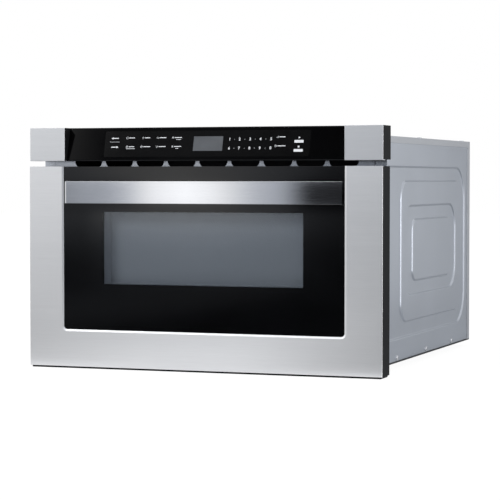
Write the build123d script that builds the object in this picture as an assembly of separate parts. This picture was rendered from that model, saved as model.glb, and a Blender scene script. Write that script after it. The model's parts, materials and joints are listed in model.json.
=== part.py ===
from build123d import *
from math import acos, cos, pi, radians, sin, tan
import os

# A built-in microwave drawer, 24 inch class, with a motor that opens and closes it.
# Lengths are millimetres. X runs to the right, Y to the rear, Z up. The origin lies on the
# floor under the middle of the whole appliance. Depths called d are measured back from the
# front face of the drawer.

# ---------------------------------------------------------------- the front, as the room sees it
FRONT_W = 606.4          # width of the drawer front and of the control block above it
STEEL_H = 392.0          # lower edge of the steel to the top of the control block
LIP = 3.0                # plastic lip under the steel
BLOCK_H = 54.5           # height of the control block
VENT_GAP = 8.9           # air gap between the control block and the drawer front
PROUD = 2.0              # the drawer front stands this far before the control block
BLOCK_D = 44.0           # depth of the control block
DEPTH = 671.0            # front face to the heads of the rear screws
SKIN_T = 1.2             # stainless skins
SKIN_EDGE = 0.5          # rounding of their front edges

# ---------------------------------------------------------------- the cabinet behind it
CABINET_IN = 25.2        # the front overlaps the cabinet by this much on each side
CABINET_DROP = 14.0      # top of the cabinet below the top of the control block
CABINET_LIFT = 10.0      # underside of the cabinet above the lip's lowest point
BASE_T = 2.0
SIDE_T = 1.0
COVER_T = 0.8
BACK_T = 0.8
PLATE_T = 1.2
HEM = 16.0               # height of the base's folded edges
COVER_HEM = 11.0         # the top cover folds down over the sides by this much
BACK_HEM = 18.0          # the back panel folds forward over the sides by this much
SCREW_R = 2.0            # thread of the sheet-metal screws
SCREW_HEAD_R = 4.2
SCREW_HEAD_H = 2.0
SCREW_L = 7.0            # length of thread under the head
SCREW_SIDES = 6          # sides of the plain prism that stands for a thread
HOLE_PLAY = 0.1          # screw hole over the thread, radial

# ---------------------------------------------------------------- clearances
FIT = 0.3                # between pieces that only face each other
SEAM = 0.5               # open joint between visible pieces
BEARING_PLAY = 0.05      # shaft in its bearing, radial

# ---------------------------------------------------------------- levels worked out from these
FRONT_Y = -DEPTH / 2
HALF_W = FRONT_W / 2
TOP_Z = LIP + STEEL_H
BLOCK_Z = TOP_Z - BLOCK_H
DOOR_TOP = BLOCK_Z - VENT_GAP
PLATE_D = PROUD + BLOCK_D
BEHIND = PLATE_D + PLATE_T
HALF_CAB = HALF_W - CABINET_IN
INNER_X = HALF_CAB - SIDE_T
CAB_Z = CABINET_LIFT
FLOOR_Z = CAB_Z + BASE_T
CAB_TOP = TOP_Z - CABINET_DROP
CEILING_Z = CAB_TOP - COVER_T
BACK_D = DEPTH - SCREW_HEAD_H
BACK_IN = BACK_D - BACK_T


# ================================================================ drawing helpers
def span(x, d, z):
    """A block between two widths, two depths and two heights."""
    middle = [(low + high) / 2 for low, high in (x, d, z)]
    size = [high - low for low, high in (x, d, z)]
    return Pos(middle[0], FRONT_Y + middle[1], middle[2]) * Box(*size)


def outline(across, up, radius=0.0):
    """A rectangle between two limits each way, with rounded corners where a radius is given."""
    width = across[1] - across[0]
    height = up[1] - up[0]
    shape = RectangleRounded(width, height, radius) if radius else Rectangle(width, height)
    return Pos((across[0] + across[1]) / 2, (up[0] + up[1]) / 2) * shape


def grown(limits, by):
    return (limits[0] - by, limits[1] + by)


def upright(d):
    """The plane that faces the room at depth d, drawn in width and height."""
    return Plane(origin=(0, FRONT_Y + d, 0), x_dir=(1, 0, 0), z_dir=(0, -1, 0))


def sideways(x):
    """The plane that faces right at width x, drawn in depth and height."""
    return Plane(origin=(x, FRONT_Y, 0), x_dir=(0, 1, 0), z_dir=(1, 0, 0))


def level(z):
    """The plane that faces up at height z, drawn in width and depth."""
    return Plane(origin=(0, FRONT_Y, z), x_dir=(1, 0, 0), z_dir=(0, 0, 1))


def rearward(d):
    """The plane that faces the wall at depth d, drawn in width to the left and height."""
    return Plane(origin=(0, FRONT_Y + d, 0), x_dir=(-1, 0, 0), z_dir=(0, 1, 0))


def sheet_front(sketch, front, rear):
    return extrude(upright(rear) * sketch, amount=rear - front)


def rod_x(x, d, z, radius):
    return extrude(sideways(x[0]) * (Pos(d, z) * Circle(radius)), amount=x[1] - x[0])


def rod_y(x, d, z, radius):
    return extrude(upright(d[1]) * (Pos(x, z) * Circle(radius)), amount=d[1] - d[0])


def rod_z(x, d, z, radius):
    return extrude(level(z[0]) * (Pos(x, d) * Circle(radius)), amount=z[1] - z[0])


def faceted(across, up, radius, outside):
    """A rounded rectangle with straight facets at its corners, just outside or inside the arcs."""
    turns = (22.5, 67.5) if outside else (0, 45, 90)
    reach = radius / cos(radians(22.5)) if outside else radius
    points = []
    for quarter in range(4):
        x = across[1] - radius if quarter in (0, 3) else across[0] + radius
        y = up[1] - radius if quarter in (0, 1) else up[0] + radius
        for turn in turns:
            angle = radians(90 * quarter + turn)
            points.append((x + reach * cos(angle), y + reach * sin(angle)))
    return make_face(Polyline(*points, close=True))


def screw_hole(face, x, y, depth):
    """A six-sided hole round a screw's thread, cut into a plane from its front."""
    hole = Pos(x, y) * RegularPolygon(SCREW_R + HOLE_PLAY, SCREW_SIDES)
    return extrude(face * hole, amount=-depth)


def other_side(piece):
    return mirror(piece, about=Plane.YZ)


def both_sides(piece):
    return piece + other_side(piece)


def evenly(first, last, count):
    step = (last - first) / (count - 1)
    return [first + step * n for n in range(count)]


# ================================================================ cabinet panels
# The side panels carry two nested pressed rings that keep the thin sheet from drumming.
RING_DEPTH = 2.5
RING_RUN = 2.2           # width of a ring's sloping wall
RING_WALL = 0.5          # the inner surface of the pressing stands off by this much
WIDE_RING = (            # outer edge, then inner edge: depths, heights, corner radius
    ((BEHIND + 18.8, BACK_IN - 35.2), (CAB_Z + 38.0, CAB_TOP - 48.5), 60.0),
    ((BEHIND + 153.3, BACK_IN - 70.2), (CAB_Z + 65.0, CAB_TOP - 74.5), 32.0),
)
SMALL_RING = (
    ((BEHIND + 168.8, BACK_IN - 103.6), (CAB_Z + 106.0, CAB_TOP - 113.5), 45.0),
    ((BEHIND + 224.8, BACK_IN - 143.2), (CAB_Z + 131.0, CAB_TOP - 139.0), 18.0),
)
SIDE_SCREW_DS = (BEHIND + 125.8, (BEHIND + BACK_IN) / 2, BACK_IN - 133.2)
SIDE_SCREW_Z = CAB_Z + 8.0
COVER_SCREW_DS = (BEHIND + 294.8, BACK_IN - 26.2)
COVER_SCREW_IN = 9.0     # from the cabinet's side to the cover's screws
BACK_SCREW_IN = 9.0
BACK_SCREW_ZS = (CAB_Z + 50.0, CAB_TOP - 36.0)
EAR_W = 14.0             # tabs of the sides that the cover's and the back's screws hold


def pressing(edge, x, run, shape):
    """A dish in the side panel: starts at x, sinks inwards, its wall closing in by run."""
    d, z, radius = edge
    mouth = sideways(x) * shape(d, z, radius)
    bottom = sideways(x - RING_DEPTH) * shape(grown(d, -run), grown(z, -run), radius - run)
    return loft([bottom, mouth], ruled=True)


def pressed_ring(outer, inner):
    """The groove that shows from outside."""
    return (pressing(outer, HALF_CAB, RING_RUN, outline)
            - pressing(inner, HALF_CAB, -RING_RUN, outline))


def ring_back(outer, inner):
    """The same ring where it bulges into the cabinet, its corners in straight facets."""
    wide = (grown(outer[0], RING_WALL), grown(outer[1], RING_WALL), outer[2] + RING_WALL)
    narrow = (grown(inner[0], -RING_WALL), grown(inner[1], -RING_WALL), inner[2] - RING_WALL)
    bulge = pressing(wide, INNER_X, RING_RUN, lambda d, z, r: faceted(d, z, r, True))
    return bulge - pressing(narrow, INNER_X, -RING_RUN, lambda d, z, r: faceted(d, z, r, False))


def side_panel():
    face = outline((BEHIND, BACK_IN), (FLOOR_Z, CEILING_Z))
    panel = extrude(sideways(INNER_X) * face, amount=SIDE_T)
    for ring in (WIDE_RING, SMALL_RING):
        panel += ring_back(*ring)
    for ring in (WIDE_RING, SMALL_RING):
        panel -= pressed_ring(*ring)
    ear_x = (INNER_X - EAR_W, INNER_X)
    for d in COVER_SCREW_DS:
        panel += span(ear_x, grown((d, d), EAR_W / 2), (CEILING_Z - SIDE_T, CEILING_Z))
        panel -= screw_hole(level(CEILING_Z), HALF_CAB - COVER_SCREW_IN, d, SIDE_T)
    for z in BACK_SCREW_ZS:
        panel += span(ear_x, (BACK_IN - SIDE_T, BACK_IN), grown((z, z), EAR_W / 2))
        panel -= screw_hole(rearward(BACK_IN), BACK_SCREW_IN - HALF_CAB, z, SIDE_T)
    for d in SIDE_SCREW_DS:
        panel -= screw_hole(sideways(HALF_CAB), d, SIDE_SCREW_Z, SIDE_T)
    return panel


BEAD_X = INNER_X - 62.0           # a stiffening bead pressed up in the base, mirrored to the left
BEAD_W = 16.0
BEAD_H = 2.5
BEAD_TAPER = 35.0
BEAD_D = (BEHIND + 60.0, BACK_IN - 200.0)
INTAKE_ROWS = 5          # air slots in the base, on both sides of the drive motor
INTAKE_PITCH = 14.0
INTAKE_X = (105.0, 165.0)
INTAKE_W = 5.0
INTAKE_D = 210.0


def bead(z, width, length_d):
    profile = outline(grown((BEAD_X, BEAD_X), width / 2), length_d)
    return extrude(level(z) * profile, amount=BEAD_H, taper=BEAD_TAPER)


def base_plate():
    plate = span((-HALF_CAB, HALF_CAB), (BEHIND, BACK_IN), (CAB_Z, FLOOR_Z))
    hem_z = (FLOOR_Z, FLOOR_Z + HEM)
    plate += both_sides(span((INNER_X - BASE_T, INNER_X), (BEHIND, BACK_IN), hem_z))
    plate += both_sides(bead(FLOOR_Z, BEAD_W, BEAD_D))
    plate -= both_sides(bead(CAB_Z, BEAD_W - BASE_T, grown(BEAD_D, -BASE_T / 2)))
    for n in range(INTAKE_ROWS):
        d = INTAKE_D + n * INTAKE_PITCH
        plate -= both_sides(span(INTAKE_X, (d, d + INTAKE_W), (CAB_Z - 1, FLOOR_Z + 1)))
    for d in SIDE_SCREW_DS:
        plate -= both_sides(screw_hole(sideways(INNER_X), d, SIDE_SCREW_Z, BASE_T))
    return plate


COVER_MARGIN = 60.0      # round the cover's pressed field
COVER_FIELD_R = 30.0
COVER_FIELD_WALL = 1.0
FIELD_X = (COVER_MARGIN - HALF_CAB, HALF_CAB - COVER_MARGIN)
FIELD_D = (BEHIND + COVER_MARGIN, BACK_D - COVER_MARGIN)


def top_cover():
    out = HALF_CAB + COVER_T
    cover = span((-out, out), (BEHIND, BACK_D), (CEILING_Z, CAB_TOP))
    hem_d = (BEHIND, BACK_D - BACK_HEM - SEAM)
    cover += both_sides(span((HALF_CAB, out), hem_d, (CAB_TOP - COVER_HEM, CEILING_Z)))
    below = faceted(grown(FIELD_X, COVER_FIELD_WALL), grown(FIELD_D, COVER_FIELD_WALL),
                    COVER_FIELD_R + COVER_FIELD_WALL, True)
    cover += extrude(level(CEILING_Z) * below, amount=-BEAD_H)
    cover -= extrude(level(CAB_TOP) * outline(FIELD_X, FIELD_D, COVER_FIELD_R), amount=-BEAD_H)
    for d in COVER_SCREW_DS:
        cover -= both_sides(screw_hole(level(CAB_TOP), HALF_CAB - COVER_SCREW_IN, d, COVER_T))
    return cover


LOUVRE_COLS = 7
LOUVRE_ROWS = 3
LOUVRE_X = (49.0 - INNER_X, -44.0)
LOUVRE_Z = (80.0, 160.0)
LOUVRE_L = 30.0
LOUVRE_W = 6.0
BUSHING_X = -130.0       # the mains lead would enter here
BUSHING_Z = 36.0
BUSHING_R = 9.5
BUSHING_FLAT = 15.0      # height over its two flats
FAN_X = INNER_X - 112.0
FAN_Z = 110.0
GRILLE_SLOTS = 9
GRILLE_R = 50.0
GRILLE_W = 6.0


def louvre_field():
    field = Sketch()
    for x in evenly(*LOUVRE_X, LOUVRE_COLS):
        for z in evenly(*LOUVRE_Z, LOUVRE_ROWS):
            field += Pos(x, z) * Rectangle(LOUVRE_W, LOUVRE_L)
    return field


def fan_grille():
    """Upright slots whose lengths follow a circle in front of the fan."""
    field = Sketch()
    for x in evenly(GRILLE_W - GRILLE_R, GRILLE_R - GRILLE_W, GRILLE_SLOTS):
        half = (GRILLE_R ** 2 - x ** 2) ** 0.5
        field += Pos(FAN_X + x, FAN_Z) * Rectangle(GRILLE_W, 2 * half)
    return field


def bushing_outline(play):
    shape = Circle(BUSHING_R + play) & Rectangle(2 * BUSHING_R + 2, BUSHING_FLAT + 2 * play)
    return Pos(BUSHING_X, BUSHING_Z) * shape


def back_panel():
    out = HALF_CAB + COVER_T
    panel = span((-out, out), (BACK_IN, BACK_D), (CAB_Z, CEILING_Z))
    hem_d = (BACK_D - BACK_HEM, BACK_IN)
    panel += both_sides(span((HALF_CAB, out), hem_d, (FLOOR_Z, CEILING_Z)))
    holes = louvre_field() + fan_grille() + bushing_outline(HOLE_PLAY)
    panel -= sheet_front(holes, BACK_IN - 1, BACK_D + 1)
    for z in BACK_SCREW_ZS:
        panel -= both_sides(screw_hole(rearward(BACK_D), BACK_SCREW_IN - HALF_CAB, z, BACK_T))
    return panel


# ================================================================ oven cavity and front plate
CAVITY_SIDE = 46.0       # from the cabinet's side to the inside of the oven cavity
CAVITY_ABOVE = 89.0      # from the cavity's ceiling to the top of the cabinet
CAVITY_Z = 100.0
CAVITY_BEHIND = 168.2    # from its rear wall to the back panel
LINER_T = 1.0
MOUTH_R = 8.0
VENT_COUNT = 9
VENT_PITCH = 55.1
VENT_L = 44.3
VENT_H = 12.0
VENT_Z = BLOCK_Z - 0.5
RAIL_OUT = 10.0          # from the cavity to the telescopic rails
RAIL_W = 11.2
RAIL_Z = 130.0
RAIL_H = 45.0
RAIL_T = 1.2
RACK_W = 16.0
RACK_TOP = 90.0
RACK_H = 11.0
HOOK_OUT = 30.0          # from the cavity's side to the latch hooks
HOOK_DROP = 35.0         # and from its ceiling down to them
HOOK_W = 3.0
HOOK_H = 16.0
PASS = 2.0               # room round what slides through the front plate
CAV_X = (CAVITY_SIDE - HALF_CAB, HALF_CAB - CAVITY_SIDE)
CAV_Z = (CAVITY_Z, CAB_TOP - CAVITY_ABOVE)
CAV_TOP = CAV_Z[1] + LINER_T
CAVITY_BACK = BACK_IN - CAVITY_BEHIND
HOOK_X = CAV_X[1] + HOOK_OUT
HOOK_Z = CAV_Z[1] - HOOK_DROP
RAIL_XS = (CAV_X[1] + RAIL_OUT, CAV_X[1] + RAIL_OUT + RAIL_W)
RAIL_ZS = (RAIL_Z, RAIL_Z + RAIL_H)


def front_plate():
    face = outline((-INNER_X, INNER_X), (CAB_Z, CAB_TOP))
    face -= outline(CAV_X, CAV_Z, MOUTH_R)
    for side in (-1, 1):
        rail = sorted((side * (RAIL_XS[0] - PASS), side * (RAIL_XS[1] + PASS)))
        face -= outline(rail, grown(RAIL_ZS, PASS))
        hook = sorted((side * (HOOK_X - HOOK_W - PASS), side * (HOOK_X + HOOK_W + PASS)))
        face -= outline(hook, grown((HOOK_Z - HOOK_H / 2, HOOK_Z + HOOK_H / 2), PASS))
    face -= outline(grown((-RACK_W / 2, RACK_W / 2), PASS), grown((RACK_TOP - RACK_H, RACK_TOP), PASS))
    for n in range(VENT_COUNT):
        x = (n - (VENT_COUNT - 1) / 2) * VENT_PITCH
        face -= Pos(x, VENT_Z) * SlotOverall(VENT_L, VENT_H)
    plate = sheet_front(face, PLATE_D, BEHIND)
    hem_z = (FLOOR_Z + HEM + SEAM, CEILING_Z - BASE_T)
    plate += both_sides(span((INNER_X - PLATE_T, INNER_X), (BEHIND, BEHIND + HEM), hem_z))
    return plate


FLANGE_W = 19.0          # the mounting flanges stand out from the cabinet by this much
FLANGE_Z = (CAB_Z + 30.0, CAB_TOP - 10.0)
FLANGE_LEG = 20.0
MOUNT_X = HALF_CAB + 11.0  # screw holes into the kitchen cabinet
MOUNT_ZS = (CAB_Z + 70.0, CAB_TOP - 61.0)
MOUNT_R = 2.6


def mounting_flange():
    flange = span((HALF_CAB, HALF_CAB + FLANGE_W), (PLATE_D, BEHIND), FLANGE_Z)
    flange += span((HALF_CAB, HALF_CAB + PLATE_T), (BEHIND, BEHIND + FLANGE_LEG),
                   (FLANGE_Z[0], CAB_TOP - COVER_HEM - SEAM))
    for z in MOUNT_ZS:
        flange -= rod_y(MOUNT_X, (PLATE_D - 1, BEHIND + 1), z, MOUNT_R)
    return flange


PORT_R = 20.0            # hole through which the microwaves enter, under the waveguide
PORT_D = (BEHIND + CAVITY_BACK) / 2
LAMP_D = CAVITY_BACK - 110.0
LAMP_Z = CAV_Z[1] - 40.0
LAMP_SLIT_COUNT = 4      # slits in the wall before the lamp
LAMP_SLIT = (18.0, 2.5)
LAMP_REACH = 8.0


def cavity_liner():
    room = outline(CAV_X, CAV_Z, MOUTH_R)
    shell = sheet_front(offset(room, LINER_T), BEHIND, CAVITY_BACK + LINER_T)
    shell -= sheet_front(room, BEHIND - 1, CAVITY_BACK)
    shell -= rod_z(0, PORT_D, (CAV_Z[1] - 1, CAV_TOP + 1), PORT_R)
    wall_x = (CAV_X[0] - LINER_T - 1, CAV_X[0] + 1)
    for z in evenly(LAMP_Z - LAMP_REACH, LAMP_Z + LAMP_REACH, LAMP_SLIT_COUNT):
        slit_d = grown((LAMP_D, LAMP_D), LAMP_SLIT[0] / 2)
        shell -= span(wall_x, slit_d, grown((z, z), LAMP_SLIT[1] / 2))
    return shell


# ================================================================ telescopic rails
RAIL_D = (BEHIND + FIT, CAVITY_BACK)
INNER_RAIL_END = CAVITY_BACK - 10.0
SUPPORT_Z = 188.0
SUPPORT_D = (BEHIND + 14.8, CAVITY_BACK - 4.0)
SUPPORT_FOOT = 14.0
SUPPORT_WINDOW_COUNT = 5
SUPPORT_WINDOW_L = 56.0
SUPPORT_WINDOW_Z = (48.0, 104.0)
RAIL_FOOT_OUT = 14.0     # the inner rail's front foot, bent outwards behind the door


def channel(x, z, d, opens_left):
    """A C-shaped rail: a web with two lips."""
    web_x = (x[1] - RAIL_T, x[1]) if opens_left else (x[0], x[0] + RAIL_T)
    rail = span(web_x, d, z)
    rail += span(x, d, (z[0], z[0] + RAIL_T))
    rail += span(x, d, (z[1] - RAIL_T, z[1]))
    return rail


def nested(step):
    """Limits of the step-th rail inside the outer one."""
    shrink = step * (RAIL_T + FIT)
    return (RAIL_XS[0], RAIL_XS[1] - shrink), grown(RAIL_ZS, -shrink)


def outer_rail():
    x, z = nested(0)
    return channel(x, z, RAIL_D, True)


def middle_rail():
    x, z = nested(1)
    return channel(x, z, RAIL_D, True)


def inner_rail():
    x, z = nested(2)
    rail = channel(x, z, (INNER_D, INNER_RAIL_END), False)
    return rail + span((x[0], x[0] + RAIL_FOOT_OUT), (INNER_D, INNER_D + RAIL_T), z)


def rail_support():
    web_x = (RAIL_XS[1], RAIL_XS[1] + BASE_T)
    wall = outline(SUPPORT_D, (FLOOR_Z, SUPPORT_Z))
    ends = grown(SUPPORT_D, -SUPPORT_WINDOW_L)
    for d in evenly(*ends, SUPPORT_WINDOW_COUNT):
        wall -= outline(grown((d, d), SUPPORT_WINDOW_L / 2), SUPPORT_WINDOW_Z)
    support = extrude(sideways(web_x[0]) * wall, amount=BASE_T)
    foot_x = (web_x[1], web_x[1] + SUPPORT_FOOT)
    return support + span(foot_x, SUPPORT_D, (FLOOR_Z, FLOOR_Z + BASE_T))


# ================================================================ drawer front
STEEL_SIDE = 61.5        # width of the steel beside the glass
STEEL_FOOT = 61.0        # height of the steel below the glass
GLASS_R = 6.0
GLASS_SET = 2.6          # the glass lies this far behind the steel's face
GLASS_T = 4.0
TRIM_Z = (DOOR_TOP - 60.3, DOOR_TOP - 24.4)
TRIM_SET = 0.2
TRIM_END = 3.5           # the trim strip's ends fall back to the glass over this width
TRIM_BEND = (1.0, 0.7)   # their break: width from the end, and part of the height gained
WINDOW_IN = 69.1         # from the glass's edge to the window
WINDOW_Z = (138.7, DOOR_TOP - 73.8)
DOOR_D = 42.0            # rear edge of the door's plastic frame
DOOR_WALL = 3.0
DOOR_IN = 0.3            # the plastic stands inside the steel's edge
LIP_IN = 2.7             # the lip stands in at both ends
LIP_BACK = 1.3
LIP_R = 5.0
TUNNEL_T = 2.5
SCREEN_T = 1.2
SCREEN_MARGIN = 10.0
INNER_GLASS_T = 3.8
INNER_PLATE_T = 1.2
INNER_PLATE_D = 39.8
RIB_T = 2.0
RIB_COUNT = 5
RIB_IN = 85.0
GLASS_X = (-HALF_W + STEEL_SIDE, HALF_W - STEEL_SIDE)
GLASS_Z = LIP + STEEL_FOOT
INNER_D = INNER_PLATE_D + INNER_PLATE_T
POCKET_D = GLASS_SET + GLASS_T
WINDOW_XS = grown(GLASS_X, -WINDOW_IN)
LUG_XS = grown(WINDOW_XS, -WINDOW_IN)  # ribs that press the screen on the window's tunnel
SCREEN_D = INNER_PLATE_D - INNER_GLASS_T - SCREEN_T


def door_glass_outline(play):
    """The glass runs out at the top, so only its lower corners are round."""
    shape = outline(grown(GLASS_X, -play), (GLASS_Z + play, DOOR_TOP + GLASS_R * 2), GLASS_R)
    return shape & outline(grown(GLASS_X, 1), (0, DOOR_TOP - play * 0.5))


def drawer_front_steel():
    face = outline((-HALF_W, HALF_W), (LIP, DOOR_TOP)) - door_glass_outline(0)
    skin = sheet_front(face, 0, SKIN_T)
    return fillet(skin.faces().sort_by(Axis.Y)[0].edges(), SKIN_EDGE)


def door_glass():
    return sheet_front(door_glass_outline(SEAM), GLASS_SET, POCKET_D)


def trim_strip():
    """A steel strip glued on the glass, its two ends bent back to it."""
    ends = grown(GLASS_X, -2 * SEAM)
    bend_d = GLASS_SET - (GLASS_SET - TRIM_SET) * TRIM_BEND[1]
    left = [(ends[0], GLASS_SET), (ends[0] + TRIM_BEND[0], bend_d), (ends[0] + TRIM_END, TRIM_SET)]
    right = [(-x, d) for x, d in reversed(left)]
    section = make_face(Polyline(*left, *right, close=True))
    return extrude(level(TRIM_Z[0]) * section, amount=TRIM_Z[1] - TRIM_Z[0])


def door_frame():
    out_x = grown((-HALF_W, HALF_W), -DOOR_IN)
    frame = span(out_x, (SKIN_T, DOOR_D), (LIP, DOOR_TOP - DOOR_IN))
    frame += span(grown(out_x, -LIP_IN), (SKIN_T + LIP_BACK, DOOR_D), (0, LIP))
    low_rear = frame.edges().filter_by(Axis.X).sort_by(Axis.Z)[:2].sort_by(Axis.Y)[-1]
    frame = fillet(low_rear, LIP - 0.1)
    frame -= sheet_front(door_glass_outline(0), SKIN_T - 1, POCKET_D)
    in_x = grown(out_x, -DOOR_WALL)
    in_z = (LIP + DOOR_WALL, DOOR_TOP - DOOR_IN - DOOR_WALL)
    step = POCKET_D + DOOR_WALL
    shallow = SKIN_T + DOOR_WALL
    frame -= span(in_x, (step, DOOR_D + 1), in_z)
    frame -= both_sides(span((GLASS_X[1] + DOOR_WALL, in_x[1]), (shallow, step), in_z))
    frame -= span(in_x, (shallow, step), (in_z[0], GLASS_Z - DOOR_WALL))
    ribs = Part()
    for x in evenly(-HALF_W + RIB_IN, HALF_W - RIB_IN, RIB_COUNT):
        ribs += span(grown((x, x), RIB_T / 2), (step, INNER_PLATE_D), in_z)
    margin = SCREEN_MARGIN + FIT
    ribs -= span(grown(WINDOW_XS, margin), (step, DOOR_D), grown(WINDOW_Z, margin))
    tunnel = span(grown(WINDOW_XS, TUNNEL_T), (step, SCREEN_D), grown(WINDOW_Z, TUNNEL_T))
    for x in LUG_XS:
        lug_z = grown(WINDOW_Z, TUNNEL_T + SCREEN_MARGIN)
        tunnel += span(grown((x, x), RIB_T / 2), (step, SCREEN_D), lug_z)
    frame += ribs + tunnel
    return frame - span(WINDOW_XS, (POCKET_D - 1, DOOR_D), WINDOW_Z)


def window_screen():
    reach = grown(WINDOW_XS, SCREEN_MARGIN)
    return span(reach, (SCREEN_D, SCREEN_D + SCREEN_T), grown(WINDOW_Z, SCREEN_MARGIN))


def inner_glass():
    reach = grown(WINDOW_XS, SCREEN_MARGIN)
    return span(reach, (SCREEN_D + SCREEN_T, INNER_PLATE_D), grown(WINDOW_Z, SCREEN_MARGIN))


def door_inner_plate():
    reach = grown((-HALF_W, HALF_W), -(DOOR_IN + DOOR_WALL + FIT))
    height = (LIP + DOOR_WALL + FIT, DOOR_TOP - DOOR_IN - DOOR_WALL - FIT)
    face = outline(reach, height) - outline(WINDOW_XS, WINDOW_Z)
    return sheet_front(face, INNER_PLATE_D, INNER_D)


SEAL_LAP = 7.0           # the choke ring laps the cavity's mouth by this much
SEAL_IN = 6.0            # and reaches inside it
SEAL_GROOVE = (4.5, 1.5)  # how far it runs outside the mouth, and its depth


def choke_ring():
    """The moulded ring that covers the door's wave trap and closes on the front plate."""
    outer = outline(grown(CAV_X, SEAL_LAP), grown(CAV_Z, SEAL_LAP), MOUTH_R + SEAL_LAP)
    inner = outline(grown(CAV_X, -SEAL_IN), (PAN_Z - FIT * 2, CAV_Z[1] - SEAL_IN), MOUTH_R / 2)
    ring = sheet_front(outer - inner, INNER_D, PLATE_D - FIT)
    lap, sink = SEAL_GROOVE
    groove = faceted(grown(CAV_X, lap), grown(CAV_Z, lap), MOUTH_R + lap, False)
    groove -= faceted(CAV_X, CAV_Z, MOUTH_R, True)
    return ring - sheet_front(groove, PLATE_D - FIT - sink, PLATE_D)


# ================================================================ drawer box
BOX_ROOM = 8.0           # between the drawer's side walls and the cavity
BOX_T = 4.0
BOX_TOP = CAV_Z[1] - 30.0
BOX_BACK = CAVITY_BACK - 20.0  # outer face of its rear wall
RIM = 3.0
PAN_Z = 102.0
PAN_T = 1.2
TRAY_T = 6.0
TRAY_R = 18.0
TRAY_DISH = (14.0, 1.5)  # the tray's raised edge: its width and its height
BOX_X = grown(CAV_X, -BOX_ROOM)
WALL_Z = (PAN_Z + PAN_T, BOX_TOP)


def box_plan(by, front):
    """The drawer's outline seen from above, grown by a width: round corners at the rear only."""
    across = grown(BOX_X, by)
    rear = BOX_BACK + by
    radius = TRAY_R + by
    return outline(across, (front - 2 * radius, rear), radius) & outline(across, (front, rear))


def drawer_walls():
    inner = box_plan(-BOX_T, INNER_D - 1)
    walls = extrude(level(WALL_Z[0]) * (box_plan(0, INNER_D) - inner), amount=WALL_Z[1] - WALL_Z[0])
    return walls + extrude(level(BOX_TOP - RIM) * (box_plan(RIM, PLATE_D) - inner), amount=RIM)


def drawer_pan():
    return extrude(level(PAN_Z) * box_plan(0, INNER_D), amount=PAN_T)


def glass_tray():
    plan = box_plan(-BOX_T - FIT, INNER_D + FIT)
    tray = extrude(level(WALL_Z[0]) * plan, amount=TRAY_T)
    edge, sink = TRAY_DISH
    return tray - extrude(level(WALL_Z[0] + TRAY_T) * offset(plan, -edge), amount=-sink)


# ================================================================ motor drive under the cavity
MODULE = 2.5
PINION_TEETH = 18
PRESSURE = 20.0
BACKLASH = 0.25
DRIVE_D = 105.0
RACK_END = CAVITY_BACK
RACK_TOOTH_START = 92.0
RACK_FOOT = 8.0          # its foot reaches this far below the bar
SHAFT_R = 3.0
BRACKET_T = 2.0
BRACKET_GAP = 10.0       # half the gap between the bracket's cheeks
BRACKET_D = (78.0, 132.0)
BRACKET_FOOT = 12.0
SHAFT_OUT = 2.0          # end of the shaft beyond the free cheek
GEARBOX = (34.0, 60.0, 44.0)
MOTOR_R = 16.0
MOTOR_L = 48.0
FLANK_POINT_COUNT = 3
PITCH = pi * MODULE
PINION_R = MODULE * PINION_TEETH / 2
PITCH_Z = RACK_TOP - RACK_H + MODULE
PINION_Z = PITCH_Z - PINION_R
ADDENDUM = MODULE
DEDENDUM = 1.25 * MODULE
GEARBOX_X = BRACKET_GAP + BRACKET_T


def drive_rack():
    """Toothed bar that hangs behind the door's lower edge, teeth down."""
    slope = tan(radians(PRESSURE))
    root_z = PITCH_Z + DEDENDUM
    tip_z = PITCH_Z - ADDENDUM
    half = PITCH / 4 - BACKLASH / 2
    before = int((DRIVE_D - RACK_TOOTH_START) / PITCH)
    after = int((RACK_END - DRIVE_D) / PITCH) - 1
    points = [(INNER_D, RACK_TOP), (INNER_D, root_z)]
    for n in range(-before, after):
        d = DRIVE_D + (n + 0.5) * PITCH
        points.append((d - half - DEDENDUM * slope, root_z))
        points.append((d - half + ADDENDUM * slope, tip_z))
        points.append((d + half - ADDENDUM * slope, tip_z))
        points.append((d + half + DEDENDUM * slope, root_z))
    points += [(RACK_END, root_z), (RACK_END, RACK_TOP)]
    profile = make_face(Polyline(*points, close=True))
    bar = extrude(sideways(-RACK_W / 2) * profile, amount=RACK_W)
    foot_z = (RACK_TOP - RACK_H - RACK_FOOT, RACK_TOP)
    return bar + span((-RACK_W, RACK_W), (INNER_D, INNER_D + BRACKET_T), foot_z)


def involute(base, radius):
    """Angle by which the flank has turned where it reaches a radius."""
    phase = acos(min(1.0, base / radius))
    return tan(phase) - phase


def drive_pinion():
    base = PINION_R * cos(radians(PRESSURE))
    tip = PINION_R + ADDENDUM
    root = PINION_R - DEDENDUM
    half = (PITCH / 2 - BACKLASH) / 2 / PINION_R + involute(base, PINION_R)
    flank = evenly(base, tip, FLANK_POINT_COUNT)
    points = []
    for n in range(PINION_TEETH):
        middle = pi / 2 + n * 2 * pi / PINION_TEETH
        right = [(root, middle - half)] + [(r, middle - half + involute(base, r)) for r in flank]
        left = [(r, middle + half - involute(base, r)) for r in reversed(flank)]
        for r, angle in right + left + [(root, middle + half)]:
            points.append((DRIVE_D + r * cos(angle), PINION_Z + r * sin(angle)))
    gear = extrude(sideways(-RACK_W / 2) * make_face(Polyline(*points, close=True)), amount=RACK_W)
    shaft_x = (-GEARBOX_X - SHAFT_OUT, GEARBOX_X + GEARBOX[0] / 2)
    return gear + rod_x(shaft_x, DRIVE_D, PINION_Z, SHAFT_R)


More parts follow.
